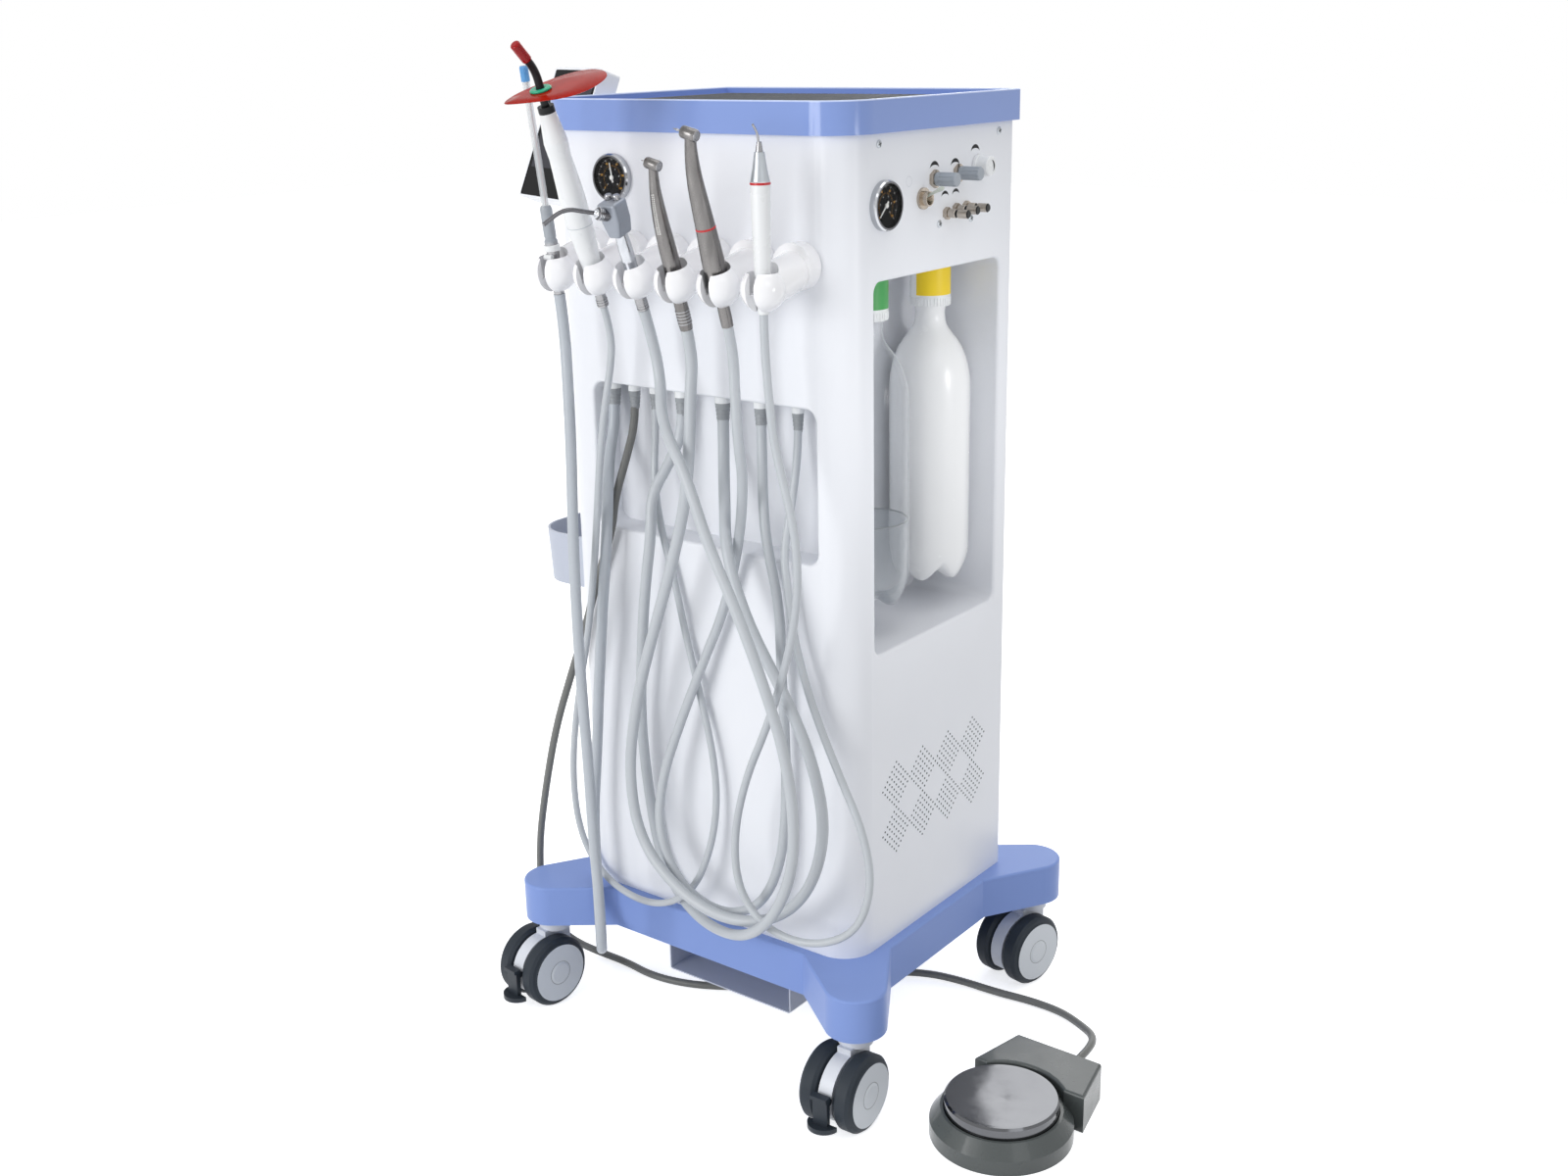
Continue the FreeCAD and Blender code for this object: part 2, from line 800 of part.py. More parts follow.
def make_tray():
    """A shallow dish on a hollow skirt that stands on the cabinet's edge."""
    body = new_body("tray")
    side = half_width + size("tray_side")
    front = -half_depth - size("tray_front")
    back = half_depth + size("tray_side")
    rim = size("tray_wall")
    corner = size("front_corner") + size("tray_side")
    heel = size("back_corner")
    outer = new_sketch(body, "tray_outer", "XY", size("cabinet_top"))
    rounded_rectangle(outer, -side, side, front, back, (corner, corner, heel, heel))
    extrude(body, outer, size("tray_height"))
    inner = new_sketch(body, "tray_inner", "XY", tray_top)
    rounded_rectangle(inner, rim - side, side - rim, front + rim, back - rim,
                      (corner - rim, corner - rim, heel - rim, heel - rim))
    extrude(body, inner, size("tray_depth"), kind="Pocket")
    doc.recompute()
    skirt = size("tray_skirt")
    under = new_sketch(body, "tray_under", "XY", size("cabinet_top"))
    rounded_rectangle(under, skirt - side, side - skirt, front + skirt, back - skirt,
                      (corner - skirt, corner - skirt, 0, 0))
    hollow = extrude(body, under, size("tray_height") - size("tray_depth") - size("tray_floor"),
                     kind="Pocket", back=True)
    dress(body, hollow, lambda middle, direction: middle.z > float(tray_top) - 0.01, 1.2)
    return finish(seat(body), "tray")


def make_mat():
    body = new_body("tray_mat")
    inset = size("tray_wall") + size("mat_gap")
    side = half_width + size("tray_side") - inset
    front = -half_depth - size("tray_front") + inset
    back = half_depth + size("tray_side") - inset
    corner = size("front_corner") + size("tray_side") - inset
    low = tray_top - size("tray_depth")
    sheet_outline = new_sketch(body, "mat_outline", "XY", low)
    rounded_rectangle(sheet_outline, -side, side, front, back, (corner, corner, 0, 0))
    extrude(body, sheet_outline, size("mat_thickness"))
    doc.recompute()
    groove = new_sketch(body, "groove", "XY", low + size("mat_thickness"))
    start = corner * 0.5 - side
    outline(groove, ((start, front - 1), (start + size("rib_groove"), front - 1),
                     (start + size("rib_groove"), back + 1), (start, back + 1)))
    cut_groove = extrude(body, groove, size("rib_depth"), kind="Pocket")
    ribs = body.newObject("PartDesign::LinearPattern", "ribs")
    ribs.Originals = [cut_groove]
    ribs.Direction = (groove, ["H_Axis"])
    count = int(float((2 * side - corner) / size("rib_pitch")))
    ribs.Occurrences = count
    bind(ribs, Length=size("rib_pitch") * (count - 1))
    body.Tip = ribs
    return finish(seat(body), "tray_mat")


def make_shelf():
    """A folded sheet hung below the base that stores the foot pedal."""
    body = new_body("pedal_shelf")
    half = size("shelf_half")
    sheet_thickness = size("sheet")
    top = size("beam_bottom")
    low = size("shelf_bottom")
    flange = half - size("shelf_flange")
    section = new_sketch(body, "section", "XZ", -size("shelf_front"))
    outline(section, (
        (-half, low), (half, low), (half, top), (flange, top), (flange, top - sheet_thickness),
        (half - sheet_thickness, top - sheet_thickness), (half - sheet_thickness, low + sheet_thickness),
        (sheet_thickness - half, low + sheet_thickness),
        (sheet_thickness - half, top - sheet_thickness), (-flange, top - sheet_thickness),
        (-flange, top), (-half, top)))
    folded = extrude(body, section, size("shelf_length"), back=True)
    corners = (float(low), float(half))
    dress(body, folded, lambda middle, direction: abs(direction.y) > 0.99
          and abs(middle.z - corners[0]) < 0.01 and abs(abs(middle.x) - corners[1]) < 0.01,
          size("sheet") * 2)
    return finish(seat(body), "pedal_shelf")


def make_bin():
    """An open tub with rounded outer corners and drafted walls."""
    body = new_body("side_bin")
    right = -half_width - size("wall_gap")
    left = right - size("bin_width")
    front = size("bin_front")
    back = front + size("bin_length")
    taper = size("bin_taper")
    corner = size("bin_round")
    heel = size("bin_wall") * 2

    def ring(name, height, inset, drawn_in):
        made = new_sketch(body, name, "XY", height)
        rounded_rectangle(made, left + inset + drawn_in, right - inset,
                          front + inset + drawn_in, back - inset - drawn_in,
                          (corner - inset - drawn_in, heel - inset, heel - inset,
                           corner - inset - drawn_in))
        return made

    top = size("bin_top")
    low = top - size("bin_height")
    shell = body.newObject("PartDesign::AdditiveLoft", "bin_shell")
    shell.Profile = ring("bin_foot", low, 0, taper)
    shell.Sections = [ring("bin_rim", top, 0, 0)]
    shell.Ruled = True
    doc.recompute()
    hollow = body.newObject("PartDesign::SubtractiveLoft", "bin_hollow")
    hollow.Profile = ring("hollow_foot", low + size("bin_wall"), size("bin_wall"), taper)
    hollow.Sections = [ring("hollow_rim", top, size("bin_wall"), 0)]
    hollow.Ruled = True
    body.Tip = hollow
    return finish(seat(body), "side_bin")


# ---------------------------------------------------------------- casters


def make_caster(corner, side_x, side_y, yaw, braked):
    """A twin-wheel caster about its stem, with its wheels trailing toward -Y."""
    trail = -size("caster_trail")
    axle_z = size("wheel_radius")
    half = size("fender_half")
    radius = size("fender_radius")
    top = size("leg_bottom") - size("caster_gap")
    place_x = side_x * stem_x
    place_y = side_y * stem_y
    turn = Rotation(Vector(0, 0, 1), float(size(yaw)))

    name = f"caster_{corner}"
    fender = cylinder(f"{name}_fender", radius, 2 * half, -half, trail, axle_z, ALONG_X)
    neck = block(f"{name}_neck", -half, half, trail, size("collar_radius") - 4, axle_z,
                 size("collar_bottom") + 1)
    collar = cylinder(f"{name}_collar", size("collar_radius"), top - size("collar_bottom"),
                      z=size("collar_bottom"))
    stem = cylinder(f"{name}_stem", size("stem_radius"), size("stem_length"), z=top)
    bore = cylinder(f"{name}_bore", size("axle_radius") + size("axle_clearance"),
                    4 * half, -2 * half, trail, axle_z, ALONG_X)
    floor_cut = block(f"{name}_floor", -2 * half, 2 * half, trail - 2 * radius, 3 * radius,
                      axle_z - 2 * radius, axle_z - radius * 0.6)
    tools = [bore, floor_cut]
    if braked:
        notch = cylinder(f"{name}_notch", size("brake_pin") + size("brake_clearance"),
                         4 * half, -2 * half, -size("brake_pin_y"), size("brake_pin_z"), ALONG_X)
        tools.append(notch)
    solid = fuse(f"{name}_cast", fender, neck, collar, stem)
    housing = cut(f"{name}_housing", solid, *tools)
    finish(seat(housing, place_x, place_y, 0, turn), f"{name}_housing")

    wheels = new_body(f"{name}_wheels")
    profile = new_sketch(wheels, f"{name}_wheel_profile", "XZ")
    outer, inner = size("wheel_half"), size("wheel_inner")
    rim, hub = axle_z, axle_z - size("tread")
    boss = outer + size("boss_raise")
    right = ((boss, 0), (boss, size("hub_boss") - 2), (outer, size("hub_boss")), (outer, hub),
             (outer - 1.5, hub + 1), (outer - 2.5, rim - 2.5), (outer - 5.5, rim),
             (inner + 4.5, rim), (inner + 1, rim - 2.5), (inner, hub),
             (inner, size("axle_radius")))
    left = [(-x, z) for x, z in (tuple(map(formula, point)) for point in reversed(right))]
    outline(profile, right + tuple(left))
    revolve(wheels, profile, "H_Axis")
    offset = turn.multVec(Vector(0, float(trail), 0))
    finish(seat(wheels, place_x + offset.x, place_y + offset.y, axle_z, turn), f"{name}_wheels")

    if braked:
        back = -size("brake_back")
        face = back - size("brake_thickness")
        lever = block(f"{name}_lever", -size("brake_half"), size("brake_half"), face, back,
                      size("brake_bottom"), size("brake_top"))
        lug = block(f"{name}_lug", -size("brake_half") - 1, size("brake_half") + 1, face - 3,
                    back, size("brake_top") - 4, size("brake_top"))
        disc = cylinder(f"{name}_disc", size("brake_foot"), size("brake_foot_thickness"),
                        0, -size("brake_foot_y"), size("brake_bottom") - 1)
        behind = block(f"{name}_behind", -30, 30, back, back + 40, 0, 40)
        foot = cut(f"{name}_foot", disc, behind)
        pin = cylinder(f"{name}_pin", size("brake_pin"), 2 * half, -half,
                       -size("brake_pin_y"), size("brake_pin_z"), ALONG_X)
        brake = fuse(f"{name}_brake", lever, lug, foot, pin)
        finish(seat(brake, place_x, place_y, 0, turn), f"brake_{corner}")


# ---------------------------------------------------------------- instruments

TOOLS = ("suction", "curing", "syringe", "turbine", "motor", "scaler")
LEAN = {"suction": 8.0, "curing": 18.5, "syringe": 20.0, "turbine": 16.0,
        "motor": 16.5, "scaler": 0.5}
# bottom of each instrument below the centre of its holder's ball, and its lower radius
REACH = {"suction": 21.0, "curing": 31.0, "syringe": 31.0, "turbine": 40.0,
         "motor": 32.0, "scaler": 21.0}
SHANK = {"suction": 5.4, "curing": 6.5, "syringe": 5.6, "turbine": 5.8,
         "motor": 5.5, "scaler": 5.2}
# the two handpieces hang with their heads turned to the left
TWIST = {"turbine": -90.0, "motor": -90.0}
HEAD = Vector(0, -0.966, 0.259)


def lean(name):
    """The tilt of an instrument in its holder, its top leaning out from the cabinet."""
    return Rotation(Vector(1, 0, 0), LEAN[name])


def held(name):
    """The tilt of an instrument with its turn about its own axis."""
    return lean(name).multiply(Rotation(Vector(0, 0, 1), TWIST.get(name, 0.0)))


def holder_x(number):
    return size("holder_first") + number * size("holder_pitch")


def make_holders():
    """Six ball-ended cups on sloping arms, each with a seat, a bore and a hose slot."""
    cups = []
    drop = float(size("holder_boss_z") - size("holder_z"))
    out = float(-half_depth - holder_y)
    slope = Rotation(Vector(1, 0, 0), 90 + math.degrees(math.atan2(drop, out)))
    length = math.hypot(drop, out)
    for number, tool in enumerate(TOOLS):
        name = f"cup_{tool}"
        x = holder_x(number)
        boss = cylinder(f"{name}_boss", size("boss_radius"), size("collar_length"),
                        x, -half_depth, size("holder_boss_z"), ALONG_MINUS_Y)
        arm = cylinder(f"{name}_arm", size("arm_radius"), length, x, -half_depth,
                       size("holder_boss_z"), slope)
        clip = block(f"{name}_clip", x - 40, x + 40, -half_depth, half_depth,
                     size("holder_boss_z") - 60, size("holder_boss_z") + 60)
        ball = sphere(f"{name}_ball", size("ball_radius"), x, holder_y, size("holder_z"))
        upright = lean(tool)
        floor = upright.multVec(Vector(0, 0, -float(size("seat_depth"))))
        start = upright.multVec(Vector(0, 0, -60))
        seat_cut = cylinder(f"{name}_seat", size("seat_radius"), 40, x,
                            holder_y + floor.y, size("holder_z") + floor.z, upright)
        bore = cylinder(f"{name}_bore", SHANK[tool] + size("hole_play"), 120, x,
                        holder_y + start.y, size("holder_z") + start.z, upright)
        slot = doc.addObject("Part::Box", f"{name}_slot")
        bind(slot, Length=size("slot_width"), Width=60, Height=120)
        corner = upright.multVec(Vector(0, -60, -60))
        put(slot, x - size("slot_width") / 2, holder_y + corner.y,
            size("holder_z") + corner.z, upright)
        solid = fuse(f"{name}_solid", boss, arm, ball)
        cups.append(cut(f"{name}_cup", solid, clip, seat_cut, bore, slot))
    return finish(seat(group("instrument_holders", *cups)), "instrument_holders")


def seat_tool(thing, tool, at=Vector(0, 0, 0), turn=Rotation()):
    """Place a piece given in an instrument's own frame, whose Z is the instrument's axis."""
    spot = held(tool).multVec(at)
    number = TOOLS.index(tool)
    return seat(thing, holder_x(number) + spot.x, holder_y + spot.y,
                size("holder_z") + spot.z, held(tool).multiply(turn))


def rest():
    """Height of an instrument's shoulder over its ball centre, on the holder's seat."""
    return size("rest_gap") - size("seat_depth")


def bent_rod(points, radius):
    """A round bar along straight runs joined by arcs, as one solid."""
    path = rounded_path(points)
    start = path.Edges[0]
    ring = Part.Wire([Part.makeCircle(radius, points[0],
                                      start.tangentAt(start.FirstParameter))])
    return path.makePipeShell([ring], True, False)


def rounded_path(points, share=0.45, report=None):
    """Straight runs joined by tangent arcs, each as large as its two runs allow."""
    edges = []
    here = points[0]
    for before, corner, after in zip(points, points[1:], points[2:]):
        towards = corner.sub(before).normalize()
        away = after.sub(corner).normalize()
        turn = towards.getAngle(away)
        setback = share * min(corner.sub(before).Length, after.sub(corner).Length)
        radius = setback / math.tan(turn / 2)
        if report is not None:
            report.append(radius)
        start = corner.sub(Vector(towards).multiply(setback))
        stop = corner.add(Vector(away).multiply(setback))
        inward = Vector(away).sub(towards).normalize()
        depth = radius / math.cos(turn / 2) - radius
        edges.append(Part.LineSegment(here, start).toShape())
        middle = corner.add(inward.multiply(depth))
        edges.append(Part.Arc(start, middle, stop).toShape())
        here = stop
    edges.append(Part.LineSegment(here, points[-1]).toShape())
    return Part.Wire(edges)


def shaped(name, shape):
    made = doc.addObject("Part::Feature", name)
    made.Shape = shape
    return made


def make_suction():
    base = rest()
    bottom = -REACH["suction"]
    shank = SHANK["suction"]
    valve = turned("suction_valve_body", (
        (0, bottom), (shank - 0.6, bottom), (shank, bottom + 4), (shank, base), (7.2, base),
        (7.2, base + 7), (5.6, base + 9), (5.6, base + 12), (6.2, base + 28), (6.2, base + 32),
        (5.0, base + 34), (5.6, base + 36), (5.6, base + 61), (4.6, base + 63.7),
        (0, base + 63.7)))
    slider = cylinder("suction_slider", 2.6, 9, -4.5, -5.5, base + 18, ALONG_X)
    finish(seat_tool(fuse("suction_valve", valve, slider), "suction"), "suction_valve")
    straw = turned("suction_tip_body", (
        (2.0, base + 63.9), (3.3, base + 63.9), (3.3, base + 173), (3.9, base + 174),
        (3.9, base + 185.5), (3.2, base + 187), (2.0, base + 187)))
    finish(seat_tool(straw, "suction"), "suction_tip")


def make_curing_light():
    base = rest()
    bottom = -REACH["curing"]
    shank = SHANK["curing"]
    handle = turned("curing_light", (
        (0, bottom), (5, bottom), (5, base - 9), (shank, base - 8), (shank, base), (8.4, base),
        (9.1, base + 17), (10.4, base + 30), (11.6, base + 47), (11.7, base + 63),
        (11.6, base + 79), (10.6, base + 98), (9.8, base + 114), (10.7, base + 129),
        (9.0, base + 142), (7.3, base + 155), (7.3, base + 161), (0, base + 161)))
    finish(seat_tool(handle, "curing"), "curing_light")

    top = float(base) + 161.2
    bend = [Vector(0, 0, top), Vector(0, 0, top + 31), Vector(0, -9.5, top + 49)]
    guide = shaped("guide_rod", bent_rod(bend, 3.6))
    direction = bend[2].sub(bend[1]).normalize()
    cap = Part.makeCylinder(4.6, 20, bend[2].sub(Vector(direction).multiply(9)), direction)
    cap = cap.makeFillet(2, [cap.Edges[0], cap.Edges[2]])
    rod = fuse("curing_guide", guide, shaped("guide_cap", cap))
    finish(seat_tool(rod, "curing"), "curing_guide")

    shield = new_body("curing_shield")
    leaf = new_sketch(shield, "leaf", "XY", base + 172)
    outline(leaf, ((-20, -30), (-8, -30), (16, -24), (40, -14), (52, 4), (48, 34), (30, 52),
                   (10, 56), (-6, 44), (-16, 20), (-24, -8)))
    plate = extrude(shield, leaf, 2.5)
    dress(shield, plate, lambda middle, direction: abs(direction.z) > 0.99, 7)
    ring = new_sketch(shield, "ring", "XY", base + 168.7)
    circle(ring, 0, 0, 11.5)
    extrude(shield, ring, 3.5)
    hole = new_sketch(shield, "hole", "XY", base + 180)
    circle(hole, 0, 0, 3.8)
    extrude(shield, hole, 20, kind="Pocket")
    finish(seat_tool(shield, "curing"), "curing_shield")


def make_syringe():
    """A three-way syringe: a turned grip, a wedge head and a bent nozzle on a collar."""
    base = rest()
    bottom = -REACH["syringe"]
    shank = SHANK["syringe"]
    grip = turned("syringe_grip", (
        (0, bottom), (shank - 0.6, bottom), (shank, bottom + 8), (shank, base), (7, base),
        (7, base + 8), (6.2, base + 15), (6.5, base + 32), (5.7, base + 45), (5.7, base + 50),
        (0, base + 50)))
    top = float(base)
    corners = [Vector(x, 9, top + z) for x, z in (
        (-6.3, 45.7), (6.3, 45.7), (10, 59.7), (10.5, 77.7), (-10.5, 77.7), (-10, 59.7))]
    wedge = Part.Face(Part.makePolygon(corners + corners[:1])).extrude(Vector(0, -19, 0))
    head = shaped("syringe_head", wedge.makeFillet(3, wedge.Edges))
    wells = [cylinder(f"well_{side}", 3.6, 12, side * 4.6, 2.5, base + 71.7) for side in (-1, 1)]
    drilled = cut("syringe_block", fuse("syringe_cast", grip, head), *wells)
    out = Vector(-0.30, -0.806, 0.506)
    root = Vector(-2.4, -12, top + 70.2)
    collar = Part.makeCylinder(5.6, 10, root.sub(Vector(out).multiply(4.5)), out)
    collar = collar.makeFillet(1, [collar.Edges[0]])
    nozzle = bent_rod([root, Vector(-13.8, -42.6, top + 89.4), Vector(-20.8, -64.6, top + 84.4)],
                      1.9)
    whole = fuse("syringe", drilled, shaped("nozzle", nozzle), shaped("nozzle_collar", collar))
    finish(seat_tool(whole, "syringe"), "syringe")
    for side, label in ((-1, "syringe_water_button"), (1, "syringe_air_button")):
        button = turned(label, (
            (0, 0), (3.3, 0), (3.3, 7.1), (2.7, 8.1), (0, 8.1)))
        finish(seat_tool(button, "syringe", Vector(side * 4.6, 2.5, top + 74.1)), label)


def handpiece(label, tool, barrel, neck, neck_radius, head, collet, bur_label, bur_profile):
    """A barrel with a bent neck and a round head across it, and the bur in its collet."""
    top = float(rest())
    neck_bar = shaped(f"{label}_neck", bent_rod([Vector(0, y, top + z) for y, z in neck],
                                                neck_radius))
    radius, length, back_y, back_z = head
    back = Vector(0, back_y, top + back_z)
    drum = Part.makeCylinder(radius, length, back, HEAD)
    drum = drum.makeFillet(0.8, [drum.Edges[0], drum.Edges[2]])
    bore = Part.makeCylinder(collet, 24, back.add(Vector(HEAD).multiply(1.5)), HEAD)
    cast = fuse(f"{label}_cast", barrel, neck_bar, shaped(f"{label}_head", drum))
    finish(seat_tool(cut(label, cast, shaped(f"{label}_collet", bore)), tool), label)
    bur = turned(bur_label, bur_profile)
    finish(seat_tool(bur, tool, back.add(Vector(HEAD).multiply(2)),
                     Rotation(Vector(0, 0, 1), HEAD)), bur_label)


def make_turbine():
    """A high-speed handpiece: coupling, slim barrel and a small head."""
    base = rest()
    bottom = -REACH["turbine"]
    shank = SHANK["turbine"]
    barrel = turned("turbine_barrel", (
        (0, bottom), (5.6, bottom), (5.6, bottom + 6), (6.2, bottom + 7), (6.2, bottom + 16),
        (shank, bottom + 18), (shank, base), (7.25, base), (7.25, base + 17), (6.85, base + 38),
        (6.05, base + 60), (5.5, base + 77), (4.35, base + 90), (0, base + 90)))
    handpiece("high_speed_handpiece", "turbine", barrel,
              ((0, 85.7), (0.5, 93.7), (4.5, 108.7)), 4.2, (4.9, 14.3, 11.4, 107.65), 1.1,
              "high_speed_bur", ((0, 0), (0.9, 0), (0.9, 12), (0.5, 13), (0.9, 15), (0, 18)))


def make_contra_angle():
    """A low-speed contra-angle on a thicker barrel."""
    base = rest()
    bottom = -REACH["motor"]
    shank = SHANK["motor"]
    barrel = turned("contra_barrel", (
        (0, bottom), (4.6, bottom), (shank, bottom + 6), (shank, base), (9.6, base),
        (10.2, base + 12), (10.4, base + 18), (9.6, base + 37), (8.5, base + 56),
        (8.2, base + 67), (7.6, base + 85), (6.9, base + 102), (0, base + 102)))
    handpiece("contra_angle", "motor", barrel,
              ((0, 97.7), (0, 107.7), (5.2, 134.7)), 4.8, (5.3, 15.1, 12.3, 135.2), 1.3,
              "contra_angle_bur", ((0, 0), (1.15, 0), (1.15, 14), (0.7, 16), (1.2, 18), (0, 23)))


def make_scaler():
    base = rest()
    bottom = -REACH["scaler"]
    shank = SHANK["scaler"]
    handle = turned("scaler_handpiece", (
        (0, bottom), (shank - 0.6, bottom), (shank, bottom + 3), (shank, base), (6.8, base),
        (6.9, base + 14), (7.2, base + 24), (7.7, base + 49), (8.2, base + 73), (8.6, base + 90),
        (8.6, base + 92), (8.2, base + 92.5), (6.0, base + 104), (4.3, base + 116),
        (0, base + 116)))
    finish(seat_tool(handle, "scaler"), "scaler_handpiece")
    top = float(base) + 116.2
    stub = shaped("tip_stub", Part.makeCone(3.2, 2.0, 8, Vector(0, 0, top)))
    hook = shaped("tip_hook", bent_rod(
        [Vector(0, -0.5, top + 5), Vector(0, -1.8, top + 15), Vector(0, -7.8, top + 22)], 1.0))
    finish(seat_tool(fuse("scaler_tip", stub, hook), "scaler"), "scaler_tip")


# ---------------------------------------------------------------- gauges and controls

KNOBS = (("air_knob", -3.3, 861.7), ("water_knob", 36.6, 864.1))
SCALER_KNOB = (71.7, 868.0)
NEEDLE_VALVES = (("needle_valve_1", 17.0, 829.8), ("needle_valve_2", 33.2, 832.0),
                 ("needle_valve_3", 50.7, 832.6))

# the hoses' glands along the recess ceiling, each with its distance from the first one
GLANDS = {"suction_hose": 0.0, "foot_hose": 27.0, "curing_hose": 53.0, "syringe_hose": 87.0,
          "turbine_hose": 136.0, "motor_hose": 181.0, "scaler_hose": 223.0}


def gland_x(name):
    """The glands keep their spacing and spread out with the recess."""
    first = recess_left + size("first_gland_in")
    last = recess_right - size("last_gland_in")
    return first + (last - first) * (GLANDS[name] / max(GLANDS.values()))



shaft = size("knob_shaft")
PANEL_HOLES = [(y, z, shaft) for name, y, z in KNOBS + NEEDLE_VALVES]
PANEL_HOLES.append((*SCALER_KNOB, shaft))
PANEL_HOLES.append((size("toggle_y"), size("toggle_z"), size("toggle_radius")))


def gauge_case(name):
    body, bezel, lip = size("gauge_body"), size("gauge_bezel"), size("gauge_lip")
    dial, window, pin = size("gauge_dial"), size("gauge_window"), size("spindle")
    return turned(name, (
        (0, -size("gauge_body_length")), (body, -size("gauge_body_length")), (body, 0),
        (bezel, 0), (bezel, lip - 1.5), (bezel - 1.2, lip), (window, lip), (window, dial),
        (pin, dial), (pin, dial + 1.8), (0, dial + 1.8)))


def gauge_needle(name, turn, x, y, z):
    """A pointer turning on the dial's spindle."""
    body = new_body(name)
    low = size("gauge_dial") + 0.4
    hub = new_sketch(body, f"{name}_hub", "XY", low)
    circle(hub, 0, 0, size("needle_hub"))
    extrude(body, hub, 0.8)
    hand = new_sketch(body, f"{name}_hand", "XY", low)
    outline(hand, ((-0.9, -4.5), (0.9, -4.5), (0.3, size("needle_length")),
                   (-0.3, size("needle_length"))))
    extrude(body, hand, 0.6)
    bore = new_sketch(body, f"{name}_bore", "XY", low + 1)
    circle(bore, 0, 0, size("spindle") + size("spindle_clearance"))
    extrude(body, bore, 3, kind="Pocket")
    return finish(seat(body, x, y, z, turn), name)


FRONT = Rotation(Vector(1, 0, 0), 90)
RIGHT = Rotation(Vector(0, 0, 1), 90).multiply(Rotation(Vector(1, 0, 0), 90))


def make_gauges():
    front = (size("front_gauge_x"), -half_depth, size("front_gauge_z"))
    side = (half_width, size("side_gauge_y"), size("side_gauge_z"))
    cases = []
    glasses = []
    for name, turn, place in (("front", FRONT, front), ("side", RIGHT, side)):
        cases.append(put(gauge_case(f"case_{name}"), *place, turn))
        low = size("gauge_lip") - size("glass_thickness") - 0.6
        radius = size("gauge_window") - size("glass_gap")
        pane = turned(f"glass_{name}", (
            (0, low), (radius, low), (radius, low + size("glass_thickness")),
            (0, low + size("glass_thickness"))))
        glasses.append(put(pane, *place, turn))
    finish(seat(group("gauge_cases", *cases)), "gauge_cases")
    finish(seat(group("gauge_glasses", *glasses)), "gauge_glasses")
    front_turn = Rotation(Vector(0, 0, 1), float(size("front_reading")))
    side_turn = Rotation(Vector(0, 0, 1), float(size("side_reading")))
    gauge_needle("gauge_needle_front", FRONT.multiply(front_turn), *front)
    gauge_needle("gauge_needle_side", RIGHT.multiply(side_turn), *side)


def hexagon(name, y, z, across, hole, height):
    """A hex nut against the side panel, with a through hole."""
    prism = doc.addObject("Part::Prism", name)
    prism.Polygon = 6
    bind(prism, Circumradius=across / math.sqrt(3), Height=height)
    put(prism, half_width, y, z, ALONG_X)
    drill = cylinder(f"{name}_drill", hole, 4 * height, half_width - height, y, z, ALONG_X)
    return cut(f"{name}_nut", prism, drill)


